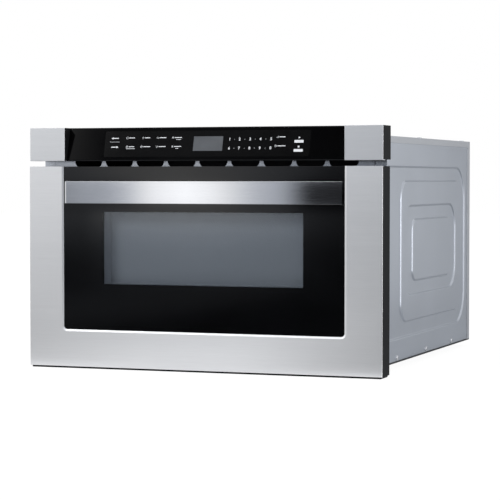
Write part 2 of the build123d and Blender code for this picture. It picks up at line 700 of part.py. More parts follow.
def drive_bracket():
    """An upside-down U that holds the pinion and guides the rack from above."""
    cheek = outline(BRACKET_D, (FLOOR_Z, RACK_TOP + FIT + BRACKET_T))
    cheek -= Pos(DRIVE_D, PINION_Z) * Circle(SHAFT_R + BEARING_PLAY)
    sides = extrude(sideways(BRACKET_GAP) * cheek, amount=BRACKET_T)
    foot = span((GEARBOX_X, GEARBOX_X + BRACKET_FOOT), BRACKET_D, (FLOOR_Z, FLOOR_Z + BRACKET_T))
    top = span((-BRACKET_GAP, BRACKET_GAP), BRACKET_D, (RACK_TOP + FIT, RACK_TOP + FIT + BRACKET_T))
    return both_sides(sides + foot) + top


def drive_motor():
    size_x, size_d, size_z = GEARBOX
    x = (GEARBOX_X, GEARBOX_X + size_x)
    box = span(x, (DRIVE_D - size_d / 4, DRIVE_D + size_d * 3 / 4), grown((PINION_Z, PINION_Z), size_z / 2))
    motor = rod_x((x[1], x[1] + MOTOR_L), DRIVE_D + size_d / 2, PINION_Z, MOTOR_R)
    bore_x = (x[0] - 1, GEARBOX_X + size_x / 2 + FIT)
    return box + motor - rod_x(bore_x, DRIVE_D, PINION_Z, SHAFT_R + BEARING_PLAY)


HOOK_REACH = 26.0
HOOK_NOSE = 7.0
HOOK_FOOT = (7.0, 2.5)   # half the width of the hook's foot, and its thickness
SWITCH = (12.0, 20.0, 28.0)
SWITCH_CORNER = 3.0
SWITCH_LEVER = (0.8, 14.0, 8.0)
SWITCH_TAB = (4.0, 6.0, 0.8)
SWITCH_TAB_COUNT = 3


def latch_hooks():
    """Two moulded hooks on the door that work the interlock switches."""
    shank_d = (INNER_D, PLATE_D + HOOK_REACH)
    profile = outline(shank_d, grown((HOOK_Z, HOOK_Z), HOOK_H / 4))
    profile += outline((shank_d[1] - HOOK_NOSE, shank_d[1]), (HOOK_Z - HOOK_H / 2, HOOK_Z + HOOK_H / 4))
    hook = extrude(sideways(HOOK_X - HOOK_W) * profile, amount=2 * HOOK_W)
    half, thick = HOOK_FOOT
    foot_x = grown((HOOK_X, HOOK_X), half)
    hook += span(foot_x, (INNER_D, INNER_D + thick), grown((HOOK_Z, HOOK_Z), HOOK_H / 2))
    return both_sides(hook)


def interlock_switches():
    """Microswitches on the back of the front plate, beside each hook."""
    size_x, size_d, size_z = SWITCH
    face_x = HOOK_X - HOOK_W - PASS
    x = (face_x - size_x, face_x)
    d = (BEHIND, BEHIND + size_d)
    switch = span(x, d, grown((HOOK_Z, HOOK_Z), size_z / 2))
    switch = chamfer(switch.edges().filter_by(Axis.X).sort_by(Axis.Y)[-2:], SWITCH_CORNER)
    tab_w, tab_l, tab_t = SWITCH_TAB
    for z in evenly(HOOK_Z - size_z / 3, HOOK_Z + size_z / 3, SWITCH_TAB_COUNT):
        tab_x = grown((face_x - size_x / 2, face_x - size_x / 2), tab_w / 2)
        switch += span(tab_x, (d[1], d[1] + tab_l), grown((z, z), tab_t / 2))
    lever_t, lever_l, lever_h = SWITCH_LEVER
    lever_d = grown((sum(d) / 2, sum(d) / 2), lever_l / 2)
    switch += span((face_x, face_x + lever_t), lever_d, grown((HOOK_Z, HOOK_Z), lever_h / 2))
    return both_sides(switch)


# ================================================================ control block
CAP_W = 62.6             # steel ends of the control block
CAP_RETURN = 12.0
PANEL_TILT = 15.0        # the glass panel leans back
PANEL_SET = 8.0          # its lower edge lies this far behind the steel
PANEL_T = 4.0
HOUSING_T = 2.5
PANEL_LIP = 1.8
KEYPAD_IN = (65.8, 61.2)  # from the glass panel's ends to the printed film
KEYPAD_Z = (BLOCK_Z + 6.5, TOP_Z - 6.0)
KEYPAD_R = 3.0
FILM_T = 0.3
DISPLAY_X = (-19.0, 32.0)
DISPLAY_Z = (BLOCK_Z + 15.5, TOP_Z - 15.0)
KEYPAD_LAP = 6.0         # the housing carries the film's edge over this width
BOARD_BEHIND = 6.0
BOARD_T = 1.6
BOARD_OUT = 13.0         # the board runs past the film's ends
BOARD_PART_COUNT = 4
BOARD_PART = (14.0, 10.0, 4.0)
POST = 6.0               # square posts between housing and board
POST_OUT = 8.0
MODULE_OUT = (4.0, 2.0)  # the display's module is this much larger than its window
LEAN = radians(PANEL_TILT)
PANEL_X = (-HALF_W + CAP_W, HALF_W - CAP_W)
PANEL_D = PROUD + PANEL_SET
KEYPAD_X = (PANEL_X[0] + KEYPAD_IN[0], PANEL_X[1] - KEYPAD_IN[1])


def panel_plane(out):
    """The leaning front of the glass panel, moved outwards; drawn in width and slope length."""
    origin = (0, FRONT_Y + PANEL_D - out * cos(LEAN), BLOCK_Z + out * sin(LEAN))
    return Plane(origin=origin, x_dir=(1, 0, 0), z_dir=(0, -cos(LEAN), sin(LEAN)))


def up_slope(z):
    return (z - BLOCK_Z) / cos(LEAN)


def lean_sheet(sketch, inner, outer):
    """A flat piece parallel to the glass panel, between two distances from its front."""
    return extrude(panel_plane(inner) * sketch, amount=outer - inner)


SLOPE = (PANEL_LIP, up_slope(TOP_Z) - PANEL_LIP)
KEYPAD_SLOPE = (up_slope(KEYPAD_Z[0]), up_slope(KEYPAD_Z[1]))
DISPLAY_SLOPE = (up_slope(DISPLAY_Z[0]), up_slope(DISPLAY_Z[1]))
PANEL_BACK = PANEL_T + HOUSING_T
BOARD_BACK = PANEL_BACK + BOARD_BEHIND


def lean_wedge(x, gap, z):
    """Everything between the leaning plane, moved back by gap, and the front plate."""
    edge = [(PANEL_D + gap / cos(LEAN) + (h - BLOCK_Z) * tan(LEAN), h) for h in z]
    profile = Polyline(edge[0], edge[1], (PLATE_D, z[1]), (PLATE_D, z[0]), close=True)
    return extrude(sideways(x[0]) * make_face(profile), amount=x[1] - x[0])


def control_housing():
    out_x = HALF_W - DOOR_IN
    end_x = (PANEL_X[1], out_x)
    height = (BLOCK_Z, TOP_Z)
    ends = span(end_x, (PROUD + SKIN_T, PLATE_D), (BLOCK_Z + SKIN_T, TOP_Z))
    ends -= span(grown(end_x, -HOUSING_T), (PROUD + SKIN_T + HOUSING_T, PLATE_D + 1),
                 (BLOCK_Z + SKIN_T + HOUSING_T, TOP_Z - HOUSING_T))
    middle = lean_wedge(PANEL_X, 0, height)
    pocket = outline(grown(PANEL_X, 1), SLOPE)
    middle -= lean_sheet(pocket, -PANEL_T, 1)
    hollow = lean_wedge(PANEL_X, PANEL_T + HOUSING_T, grown(height, -HOUSING_T))
    middle -= hollow
    middle -= lean_sheet(outline(grown(KEYPAD_X, -KEYPAD_LAP), KEYPAD_SLOPE), -PANEL_BACK - 1, 0)
    housing = middle + both_sides(ends)
    housing += span((-out_x, out_x), (PLATE_D - HOUSING_T, PLATE_D), (CAB_TOP - HOUSING_T, TOP_Z))
    posts = Sketch()
    for x in grown(KEYPAD_X, POST_OUT):
        for up in grown(KEYPAD_SLOPE, -POST):
            posts += Pos(x, up) * Rectangle(POST, POST)
    return housing + lean_sheet(posts, -BOARD_BACK, -PANEL_BACK)


def control_board():
    slope = grown(KEYPAD_SLOPE, -1)
    board = lean_sheet(outline(grown(KEYPAD_X, BOARD_OUT), slope), -BOARD_BACK - BOARD_T, -BOARD_BACK)
    wide, high, thick = BOARD_PART
    rear = -BOARD_BACK - BOARD_T
    for x in evenly(*KEYPAD_X, BOARD_PART_COUNT):
        part_x = grown((x, x), wide / 2)
        board += lean_sheet(outline(part_x, (slope[0] + high, slope[0] + 2 * high)), rear - thick, rear)
    return board


def display_module():
    face = outline(grown(DISPLAY_X, MODULE_OUT[0]), grown(DISPLAY_SLOPE, MODULE_OUT[1]))
    return lean_sheet(face, -BOARD_BACK, -PANEL_T)


def control_glass():
    return lean_sheet(outline(grown(PANEL_X, -SEAM), grown(SLOPE, -FIT)), -PANEL_T, 0)


def keypad_film():
    film = outline(KEYPAD_X, KEYPAD_SLOPE, KEYPAD_R) - outline(DISPLAY_X, DISPLAY_SLOPE)
    return lean_sheet(film, 0, FILM_T)


def display_window():
    return lean_sheet(outline(grown(DISPLAY_X, -FIT), grown(DISPLAY_SLOPE, -FIT)), 0, FILM_T)


def end_cap():
    x = (HALF_W - CAP_W, HALF_W)
    cap = span(x, (PROUD, PROUD + SKIN_T), (BLOCK_Z, TOP_Z))
    cap += span(x, (PROUD + SKIN_T, PROUD + CAP_RETURN), (BLOCK_Z, BLOCK_Z + SKIN_T))
    return fillet(cap.faces().sort_by(Axis.Y)[0].edges(), SKIN_EDGE)


# ================================================================ microwave parts
GUIDE_W = 90.0
GUIDE_H = 38.0
GUIDE_T = 1.0
TUBE_D = BACK_IN - 102.2  # where the magnetron stands
GUIDE_D = (PORT_D - 37.0, TUBE_D + 44.0)
YOKE = (92.0, 76.0, 62.0)
YOKE_T = 2.0
FIN_COUNT = 5
FIN_T = 1.0
FIN_W = 58.0
FIN_END = 12.0           # from the yoke's ends to the outer fins
ANODE_R = 19.0
ANODE_SIDES = 12
ANTENNA_R = 7.5
ANTENNA_H = 22.0
ANTENNA_ROOM = 3.0       # round the antenna where it enters the waveguide
FILTER_BOX = (60.0, 50.0, 34.0)
GUIDE_X = (-GUIDE_W / 2, GUIDE_W / 2)
GUIDE_Z = (CAV_TOP, CAV_TOP + GUIDE_H)


def waveguide():
    box = span(GUIDE_X, GUIDE_D, GUIDE_Z)
    box -= span(grown(GUIDE_X, -GUIDE_T), grown(GUIDE_D, -GUIDE_T), grown(GUIDE_Z, -GUIDE_T))
    floor_z = (GUIDE_Z[0] - 1, GUIDE_Z[0] + GUIDE_T + 1)
    box -= rod_z(0, PORT_D, floor_z, PORT_R)
    box -= rod_z(0, TUBE_D, floor_z, ANTENNA_R + ANTENNA_ROOM)
    roof_z = (GUIDE_Z[1] - GUIDE_T - 1, GUIDE_Z[1] + 1)
    return box - rod_z(0, PORT_D, roof_z, SHAFT_R + BEARING_PLAY)


def magnetron():
    """Anode with cooling fins in a steel yoke, the antenna up, the filter box below."""
    wide, deep, tall = YOKE
    top = GUIDE_Z[0]
    x = (-wide / 2, wide / 2)
    d = grown((TUBE_D, TUBE_D), deep / 2)
    z = (top - tall, top)
    tube = span(x, d, z) - span(grown(x, -YOKE_T), grown(d, 1), grown(z, -YOKE_T))
    anode = Pos(0, TUBE_D) * RegularPolygon(ANODE_R, ANODE_SIDES)
    tube += extrude(level(z[0]) * anode, amount=tall)
    for low in evenly(z[0] + FIN_END, z[1] - FIN_END, FIN_COUNT):
        tube += span(grown(x, -YOKE_T), grown((TUBE_D, TUBE_D), FIN_W / 2), (low, low + FIN_T))
    tube += rod_z(0, TUBE_D, (top, top + ANTENNA_H), ANTENNA_R)
    wide, deep, tall = FILTER_BOX
    return tube + span((-wide / 2, wide / 2), grown((TUBE_D, TUBE_D), deep / 2), (z[0] - tall, z[0]))


STIRRER_R = 92.0
STIRRER_Z = CAV_Z[1] - 9.0
STIRRER_T = 1.0
STIRRER_BLADE_COUNT = 3
STIRRER_TILT = 12.0
BLADE_HUB_R = 14.0
BLADE_HUB_H = 3.0
BLADE_W = 40.0
SHAFT_IN_MOTOR = 8.0
STIRRER_MOTOR = (24.0, 15.0)
MOTOR_TAB = (64.0, 12.0, 1.5)
COVER_W = 214.0
COVER_R = 30.0
COVER_DROP = 16.0
COVER_WALL = 1.6


def stirrer():
    """Bent metal blades that spread the microwaves, on a thin vertical shaft."""
    wheel = rod_z(0, PORT_D, (STIRRER_Z, STIRRER_Z + BLADE_HUB_H), BLADE_HUB_R)
    shape = outline((BLADE_HUB_R * 0.7, STIRRER_R), (-BLADE_W / 2, BLADE_W / 2))
    blade = Rot(STIRRER_TILT, 0, 0) * extrude(shape, amount=STIRRER_T)
    for n in range(STIRRER_BLADE_COUNT):
        turned = Rot(0, 0, 360 * n / STIRRER_BLADE_COUNT) * blade
        wheel += Pos(0, FRONT_Y + PORT_D, STIRRER_Z + (BLADE_HUB_H - STIRRER_T) / 2) * turned
    return wheel + rod_z(0, PORT_D, (STIRRER_Z, GUIDE_Z[1] + SHAFT_IN_MOTOR), SHAFT_R)


def stirrer_cover():
    """A shallow dish under the blades, clipped to the cavity's ceiling."""
    across = (-COVER_W / 2, COVER_W / 2)
    d = grown((PORT_D, PORT_D), COVER_W / 2)
    base_z = CAV_Z[1] - COVER_DROP
    dish = extrude(level(base_z) * faceted(across, d, COVER_R, False), amount=COVER_DROP)
    inner = faceted(grown(across, -COVER_WALL), grown(d, -COVER_WALL), COVER_R - COVER_WALL, False)
    return dish - extrude(level(base_z + COVER_WALL) * inner, amount=COVER_DROP)


def stirrer_motor():
    radius, height = STIRRER_MOTOR
    tab_x, tab_d, tab_t = MOTOR_TAB
    base_z = GUIDE_Z[1]
    motor = rod_z(0, PORT_D, (base_z, base_z + height), radius)
    motor += span((-tab_x / 2, tab_x / 2), grown((PORT_D, PORT_D), tab_d / 2), (base_z, base_z + tab_t))
    bore_z = (base_z - 1, base_z + SHAFT_IN_MOTOR + FIT)
    return motor - rod_z(0, PORT_D, bore_z, SHAFT_R + BEARING_PLAY)


CORE = (88.0, 66.0, 76.0)
CORE_X = -150.0
CORE_D = BACK_IN - 68.2
COIL_OUT = 14.0
COIL_R = 12.0
COIL_SPACE = 2.0
CORE_LIMB = 18.0
CORE_XS = (CORE_X - CORE[0] / 2, CORE_X + CORE[0] / 2)
CORE_DS = (CORE_D - CORE[1] / 2, CORE_D + CORE[1] / 2)
LIMB_XS = (CORE_X - CORE_LIMB / 2, CORE_X + CORE_LIMB / 2)
WINDOW_W = CORE[0] / 2 - CORE_LIMB
YOKE_ZS = (FLOOR_Z + CORE_LIMB, FLOOR_Z + CORE[2] - CORE_LIMB / 2)


def transformer_core():
    """Laminations of E and I form: two windows beside a middle limb."""
    core = span(CORE_XS, CORE_DS, (FLOOR_Z, FLOOR_Z + CORE[2]))
    core -= span((LIMB_XS[0] - WINDOW_W, LIMB_XS[0]), grown(CORE_DS, 1), YOKE_ZS)
    return core - span((LIMB_XS[1], LIMB_XS[1] + WINDOW_W), grown(CORE_DS, 1), YOKE_ZS)


def transformer_windings():
    """The mains coil below and the high-voltage coil above it, both round the middle limb."""
    low, high = grown(YOKE_ZS, -FIT)
    middle = (low + high) / 2
    ring = faceted(grown(LIMB_XS, WINDOW_W - FIT), grown(CORE_DS, COIL_OUT), COIL_R, False)
    ring -= outline(grown(LIMB_XS, FIT), grown(CORE_DS, FIT))
    coils = Part()
    for z in ((low, middle - COIL_SPACE / 2), (middle + COIL_SPACE / 2, high)):
        coils += extrude(level(z[0]) * ring, amount=z[1] - z[0])
    return coils


CAN = (54.0, 34.0, 92.0)
CAN_X = -52.0
CAN_D = BACK_IN - 48.2
TERMINAL = (6.0, 0.8, 11.0)
TERMINAL_XS = (CAN_X - 14.0, CAN_X + 14.0)
STRAP_W = 14.0
STRAP_T = 1.2
STRAP_FOOT = 10.0
CAN_TOP = FLOOR_Z + CAN[2]


def hv_capacitor():
    plan = Pos(CAN_X, CAN_D) * SlotOverall(CAN[0], CAN[1])
    can = extrude(level(FLOOR_Z) * plan, amount=CAN[2])
    wide, deep, tall = TERMINAL
    for x in TERMINAL_XS:
        can += span(grown((x, x), wide / 2), grown((CAN_D, CAN_D), deep / 2), (CAN_TOP, CAN_TOP + tall))
    return can


def capacitor_clamp():
    """A strap over the can, between its terminals, with a foot before and behind."""
    x = grown((CAN_X, CAN_X), STRAP_W / 2)
    inner = grown((CAN_D, CAN_D), CAN[1] / 2)
    outer = grown(inner, STRAP_T)
    strap = span(x, outer, (FLOOR_Z, CAN_TOP + STRAP_T)) - span(grown(x, 1), inner, (FLOOR_Z - 1, CAN_TOP))
    strap += span(x, (outer[0] - STRAP_FOOT, outer[0]), (FLOOR_Z, FLOOR_Z + STRAP_T))
    return strap + span(x, (outer[1], outer[1] + STRAP_FOOT), (FLOOR_Z, FLOOR_Z + STRAP_T))


# ================================================================ cooling and electrics
FAN_R = 50.0
FAN_THROAT_R = 54.5
FAN_THROAT_T = 2.0
FAN_HUB_R = 17.0
FAN_BLADE_COUNT = 5
FAN_L = 20.0
FAN_PITCH = 35.0
BLADE_ROOT = (15.0, 8.0)  # a blade's inner end: distance from the axis, half its chord
BLADE_TIP = 15.0         # half the chord at its outer end
BLADE_T = 1.6
FAN_SHAFT_R = 2.5
FAN_SHAFT_IN = 8.0
SHROUD_W = 128.0
SHROUD_D = 34.0
SHROUD_T = 3.0
SHROUD_ARM = 6.0
SHROUD_ARM_COUNT = 3
FAN_MOTOR_R = 24.0
FAN_MOTOR_L = 26.0
FAN_ROOM = 5.0           # between the shroud's arms and the wheel
FAN_FRONT = BACK_IN - SHROUD_D
FAN_AXIS = Pos(FAN_X, FAN_Z)
HUB_D = (FAN_FRONT + FAN_ROOM, FAN_FRONT + FAN_ROOM + FAN_L)


def fan_shroud():
    throat = FAN_AXIS * Circle(FAN_THROAT_R)
    plate = FAN_AXIS * Rectangle(SHROUD_W, SHROUD_W) - throat
    ring = FAN_AXIS * Circle(FAN_THROAT_R + FAN_THROAT_T) - throat
    spider = FAN_AXIS * Circle(FAN_MOTOR_R)
    for n in range(SHROUD_ARM_COUNT):
        arm = Pos(FAN_THROAT_R / 2, 0) * Rectangle(FAN_THROAT_R + FAN_THROAT_T, SHROUD_ARM)
        spider += FAN_AXIS * Rot(0, 0, 90 + 360 * n / SHROUD_ARM_COUNT) * arm
    spider -= FAN_AXIS * Circle(FAN_SHAFT_R + SHROUD_T)
    shroud = sheet_front(plate, BACK_IN - SHROUD_T, BACK_IN) + sheet_front(ring, FAN_FRONT, BACK_IN)
    return shroud + sheet_front(spider, FAN_FRONT, FAN_FRONT + SHROUD_T)


def fan_wheel():
    """Five pitched blades on a hub; the wheel spins between its motor and the grille."""
    wheel = rod_y(FAN_X, HUB_D, FAN_Z, FAN_HUB_R)
    root, half_root = BLADE_ROOT
    lower = [(root, -half_root), (FAN_R, -BLADE_TIP)]
    plan = make_face(Polyline(*lower, (FAN_R, BLADE_TIP), (root, half_root), close=True))
    blade = Rot(FAN_PITCH, 0, 0) * extrude(Plane.XZ * plan, amount=BLADE_T / 2, both=True)
    for n in range(FAN_BLADE_COUNT):
        turned = Rot(0, 360 * n / FAN_BLADE_COUNT, 0) * blade
        wheel += Pos(FAN_X, FRONT_Y + sum(HUB_D) / 2, FAN_Z) * turned
    return wheel + rod_y(FAN_X, (FAN_FRONT - FAN_SHAFT_IN, HUB_D[0]), FAN_Z, FAN_SHAFT_R)


def fan_motor():
    motor = rod_y(FAN_X, (FAN_FRONT - FAN_MOTOR_L, FAN_FRONT), FAN_Z, FAN_MOTOR_R)
    bore_d = (FAN_FRONT - FAN_SHAFT_IN - FIT, FAN_FRONT + 1)
    return motor - rod_y(FAN_X, bore_d, FAN_Z, FAN_SHAFT_R + BEARING_PLAY)


LAMP_BASE = (3.0, 44.0, 28.0)
LAMP_LENS = (11.0, 9.0)


def cavity_lamp():
    """Lamp on the outside of the cavity's left wall: its bulb's cup stands behind the slits."""
    thick, deep, tall = LAMP_BASE
    radius, height = LAMP_LENS
    wall_x = CAV_X[0] - LINER_T
    base_d = grown((LAMP_D, LAMP_D), deep / 2)
    lamp = span((wall_x - thick, wall_x), base_d, grown((LAMP_Z, LAMP_Z), tall / 2))
    return lamp + rod_x((wall_x - thick - height, wall_x - thick), LAMP_D, LAMP_Z, radius)


CUTOUT_R = 8.0
CUTOUT_H = 7.0
CUTOUT_PLATE = (24.0, 12.0, 0.8)
CUTOUT_X = -120.0
CUTOUT_D = 330.0


def thermal_cutouts():
    """Two bimetal discs: one on the cavity's ceiling, one on the magnetron's yoke."""
    long, short, thick = CUTOUT_PLATE
    plate_x = grown((CUTOUT_X, CUTOUT_X), long / 2)
    roof = span(plate_x, grown((CUTOUT_D, CUTOUT_D), short / 2), (CAV_TOP, CAV_TOP + thick))
    roof += rod_z(CUTOUT_X, CUTOUT_D, (CAV_TOP, CAV_TOP + CUTOUT_H), CUTOUT_R)
    side_x = YOKE[0] / 2
    side_z = GUIDE_Z[0] - YOKE[2] / 2
    plate_z = grown((side_z, side_z), short / 2)
    side = span((side_x, side_x + thick), grown((TUBE_D, TUBE_D), long / 2), plate_z)
    return roof + side + rod_x((side_x, side_x + CUTOUT_H), TUBE_D, side_z, CUTOUT_R)


DUCT_D = 214.0
DUCT_X = (-248.0, 248.0)
DUCT_REACH = (26.0, 22.0)  # below and above the middle of the slots
DUCT_T = 1.0
DUCT_MOUTH = (248.0, 40.0)  # where the air comes in, in its floor
DUCT_LEDGE = 10.0        # between that mouth and the rear wall
DUCT_Z = (VENT_Z - DUCT_REACH[0], VENT_Z + DUCT_REACH[1])


def exhaust_duct():
    """Sheet duct that leads the cooling air to the slots above the drawer front."""
    duct = span(DUCT_X, (BEHIND, DUCT_D), DUCT_Z)
    duct -= span(grown(DUCT_X, -DUCT_T), (BEHIND - 1, DUCT_D - DUCT_T), grown(DUCT_Z, -DUCT_T))
    wide, deep = DUCT_MOUTH
    mouth_d = (DUCT_D - DUCT_LEDGE - deep, DUCT_D - DUCT_LEDGE)
    return duct - span((-wide / 2, wide / 2), mouth_d, (DUCT_Z[0] - 1, DUCT_Z[0] + DUCT_T + 1))


POWER_BOARD_X = (BEAD_X - 105.0, BEAD_X + 17.0)
POWER_BOARD_D = (CAVITY_BACK - 170.0, CAVITY_BACK - 30.0)
BOARD_STAND = 6.0        # the board's height over the base's beads
POST_EDGE = 6.0
CONVERTER = (42.0, 40.0, 32.0)
CONVERTER_AT = (10.0, 15.0)
RELAY = (16.0, 28.0, 16.0)
RELAY_AT = (68.0, 20.0)
RELAY_PITCH = 24.0
SMOOTHER = (8.0, 26.0)
SMOOTHER_AT = (26.0, 95.0)


def board_block(size, at, base_z):
    x = POWER_BOARD_X[0] + at[0]
    d = POWER_BOARD_D[0] + at[1]
    return span((x, x + size[0]), (d, d + size[1]), (base_z, base_z + size[2]))


def power_board():
    under = FLOOR_Z + BEAD_H + BOARD_STAND
    top = under + BOARD_T
    board = span(POWER_BOARD_X, POWER_BOARD_D, (under, top))
    for x in grown(POWER_BOARD_X, -POST_EDGE):
        on_bead = abs(x - BEAD_X) < BEAD_W
        foot = FLOOR_Z + (BEAD_H if on_bead else 0)
        for d in grown(POWER_BOARD_D, -POST_EDGE):
            board += span(grown((x, x), POST / 2), grown((d, d), POST / 2), (foot, under))
    board += board_block(CONVERTER, CONVERTER_AT, top)
    board += board_block(RELAY, RELAY_AT, top)
    board += board_block(RELAY, (RELAY_AT[0] + RELAY_PITCH, RELAY_AT[1]), top)
    radius, height = SMOOTHER
    x = POWER_BOARD_X[0] + SMOOTHER_AT[0]
    d = POWER_BOARD_D[0] + SMOOTHER_AT[1]
    board += rod_z(x, d, (top, top + height), radius)
    return board + rod_z(x + RELAY_PITCH, d, (top, top + height), radius)


FILTER_SIZE = (76.0, 62.0)
FILTER_AT = (6.0, 60.0)  # from the cavity's side and from its floor
CHOKE = (11.0, 20.0)
CHOKE_AT = (20.0, 22.0)
FILTER_CAN = (26.0, 22.0, 12.0)
FILTER_CAN_AT = (36.0, 32.0)


def noise_filter():
    """The mains filter's board on the rear wall of the cavity, with its choke and capacitor."""
    d = (CAVITY_BACK + LINER_T, CAVITY_BACK + LINER_T + BOARD_T)
    x = CAV_X[0] + FILTER_AT[0]
    z = CAV_Z[0] + FILTER_AT[1]
    board = span((x, x + FILTER_SIZE[0]), d, (z, z + FILTER_SIZE[1]))
    radius, height = CHOKE
    board += rod_y(x + CHOKE_AT[0], (d[1], d[1] + height), z + CHOKE_AT[1], radius)
    wide, tall, deep = FILTER_CAN
    x += FILTER_CAN_AT[0]
    z += FILTER_CAN_AT[1]
    return board + span((x, x + wide), (d[1], d[1] + deep), (z, z + tall))


BUSHING_L = 12.0
BUSHING_FLANGE = 3.0
BUSHING_WALL = 4.0
BUSHING_LIP = (8.0, 1.5, 3.0)


def mains_bushing():
    """The gland for the mains lead, with an empty bore, snapped into the back panel."""
    body = sheet_front(bushing_outline(0), BACK_IN - BUSHING_L, BACK_D)
    body += rod_y(BUSHING_X, (BACK_D, DEPTH), BUSHING_Z, BUSHING_R + BUSHING_FLANGE)
    wide, high, deep = BUSHING_LIP
    lip_x = grown((BUSHING_X, BUSHING_X), wide / 2)
    lip_z = grown((BUSHING_Z, BUSHING_Z), BUSHING_FLAT / 2 + high)
    body += span(lip_x, (BACK_IN - FIT - deep, BACK_IN - FIT), lip_z)
    return body - rod_y(BUSHING_X, (BACK_IN - BUSHING_L - 1, DEPTH + 1), BUSHING_Z, BUSHING_R - BUSHING_WALL)


# ================================================================ screws
def screw(face, x, y):
    """A sheet-metal screw whose head lies on a plane."""
    head = extrude(face * (Pos(x, y) * RegularPolygon(SCREW_HEAD_R, 6)), amount=SCREW_HEAD_H)
    thread = Pos(x, y) * RegularPolygon(SCREW_R, SCREW_SIDES)
    return head + extrude(face * thread, amount=-SCREW_L)


def cabinet_screws():
    """Low on the sides, along the cover's edges and up the back."""
    right = [screw(sideways(HALF_CAB), d, SIDE_SCREW_Z) for d in SIDE_SCREW_DS]
    right += [screw(level(CAB_TOP), HALF_CAB - COVER_SCREW_IN, d) for d in COVER_SCREW_DS]
    right += [screw(rearward(BACK_D), BACK_SCREW_IN - HALF_CAB, z) for z in BACK_SCREW_ZS]
    return Compound(children=[both_sides(piece) for piece in right])


# ================================================================ the appliance
right_panel = side_panel()
right_flange = mounting_flange()
right_outer = outer_rail()
right_middle = middle_rail()
right_inner = inner_rail()
right_cap = end_cap()

nodes = {
    "base_plate": base_plate(),
    "right_side_panel": right_panel,
    "left_side_panel": other_side(right_panel),
    "top_cover": top_cover(),
    "back_panel": back_panel(),
    "front_plate": front_plate(),
    "right_mounting_flange": right_flange,
    "left_mounting_flange": other_side(right_flange),
    "cavity_liner": cavity_liner(),
    "rail_supports": both_sides(rail_support()),
    "right_outer_rail": right_outer,
    "left_outer_rail": other_side(right_outer),
    "right_middle_rail": right_middle,
    "left_middle_rail": other_side(right_middle),
    "right_inner_rail": right_inner,
    "left_inner_rail": other_side(right_inner),
    "drawer_front_steel": drawer_front_steel(),
    "door_glass": door_glass(),
    "trim_strip": trim_strip(),
    "door_frame": door_frame(),
    "window_screen": window_screen(),
    "inner_glass": inner_glass(),
    "door_inner_plate": door_inner_plate(),
    "choke_ring": choke_ring(),
    "drawer_walls": drawer_walls(),
    "drawer_pan": drawer_pan(),
    "glass_tray": glass_tray(),
    "drive_rack": drive_rack(),
    "drive_pinion": drive_pinion(),
    "drive_bracket": drive_bracket(),
    "drive_motor": drive_motor(),
    "latch_hooks": latch_hooks(),
    "interlock_switches": interlock_switches(),
    "control_housing": control_housing(),
    "right_end_cap": right_cap,
    "left_end_cap": other_side(right_cap),
    "control_glass": control_glass(),
    "keypad_film": keypad_film(),
    "display_window": display_window(),
    "control_board": control_board(),
    "display_module": display_module(),
    "waveguide": waveguide(),
    "magnetron": magnetron(),
    "stirrer": stirrer(),
    "stirrer_cover": stirrer_cover(),
    "stirrer_motor": stirrer_motor(),
    "transformer_core": transformer_core(),
    "transformer_windings": transformer_windings(),
    "hv_capacitor": hv_capacitor(),
    "capacitor_clamp": capacitor_clamp(),
    "fan_shroud": fan_shroud(),
    "fan_wheel": fan_wheel(),
    "fan_motor": fan_motor(),
    "cavity_lamp": cavity_lamp(),
    "thermal_cutouts": thermal_cutouts(),
    "exhaust_duct": exhaust_duct(),
    "power_board": power_board(),
    "noise_filter": noise_filter(),
    "mains_bushing": mains_bushing(),
    "cabinet_screws": cabinet_screws(),
}

os.makedirs("parts", exist_ok=True)
for name, piece in nodes.items():
    export_step(piece, f"parts/{name}.step")
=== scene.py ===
import bmesh
import bpy
import json
import math
from mathutils import Matrix, Vector

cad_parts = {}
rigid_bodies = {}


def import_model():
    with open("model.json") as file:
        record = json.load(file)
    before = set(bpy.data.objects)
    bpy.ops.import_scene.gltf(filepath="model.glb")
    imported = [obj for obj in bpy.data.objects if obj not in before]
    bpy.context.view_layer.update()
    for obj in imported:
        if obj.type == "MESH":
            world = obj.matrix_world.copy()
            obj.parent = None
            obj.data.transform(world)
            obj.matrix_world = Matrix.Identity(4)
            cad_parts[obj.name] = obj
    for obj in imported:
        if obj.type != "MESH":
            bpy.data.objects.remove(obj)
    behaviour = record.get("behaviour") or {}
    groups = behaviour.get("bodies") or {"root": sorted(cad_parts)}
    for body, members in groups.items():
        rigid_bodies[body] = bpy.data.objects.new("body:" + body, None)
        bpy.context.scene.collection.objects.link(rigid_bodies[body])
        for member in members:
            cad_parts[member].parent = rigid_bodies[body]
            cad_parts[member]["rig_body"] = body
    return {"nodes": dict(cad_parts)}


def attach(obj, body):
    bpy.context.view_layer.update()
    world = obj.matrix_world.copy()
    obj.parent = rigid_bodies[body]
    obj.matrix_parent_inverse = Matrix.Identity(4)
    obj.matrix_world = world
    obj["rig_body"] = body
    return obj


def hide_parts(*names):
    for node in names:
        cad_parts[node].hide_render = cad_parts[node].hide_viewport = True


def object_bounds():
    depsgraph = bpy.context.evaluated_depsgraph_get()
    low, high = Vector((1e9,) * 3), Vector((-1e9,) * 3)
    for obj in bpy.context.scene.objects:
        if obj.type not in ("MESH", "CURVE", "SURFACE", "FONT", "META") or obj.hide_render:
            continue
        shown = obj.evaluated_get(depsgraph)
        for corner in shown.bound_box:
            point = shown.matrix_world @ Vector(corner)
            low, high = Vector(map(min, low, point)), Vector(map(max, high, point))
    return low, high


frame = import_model()
solid_low, solid_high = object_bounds()
scene = bpy.context.scene
scene.view_settings.view_transform = "Standard"

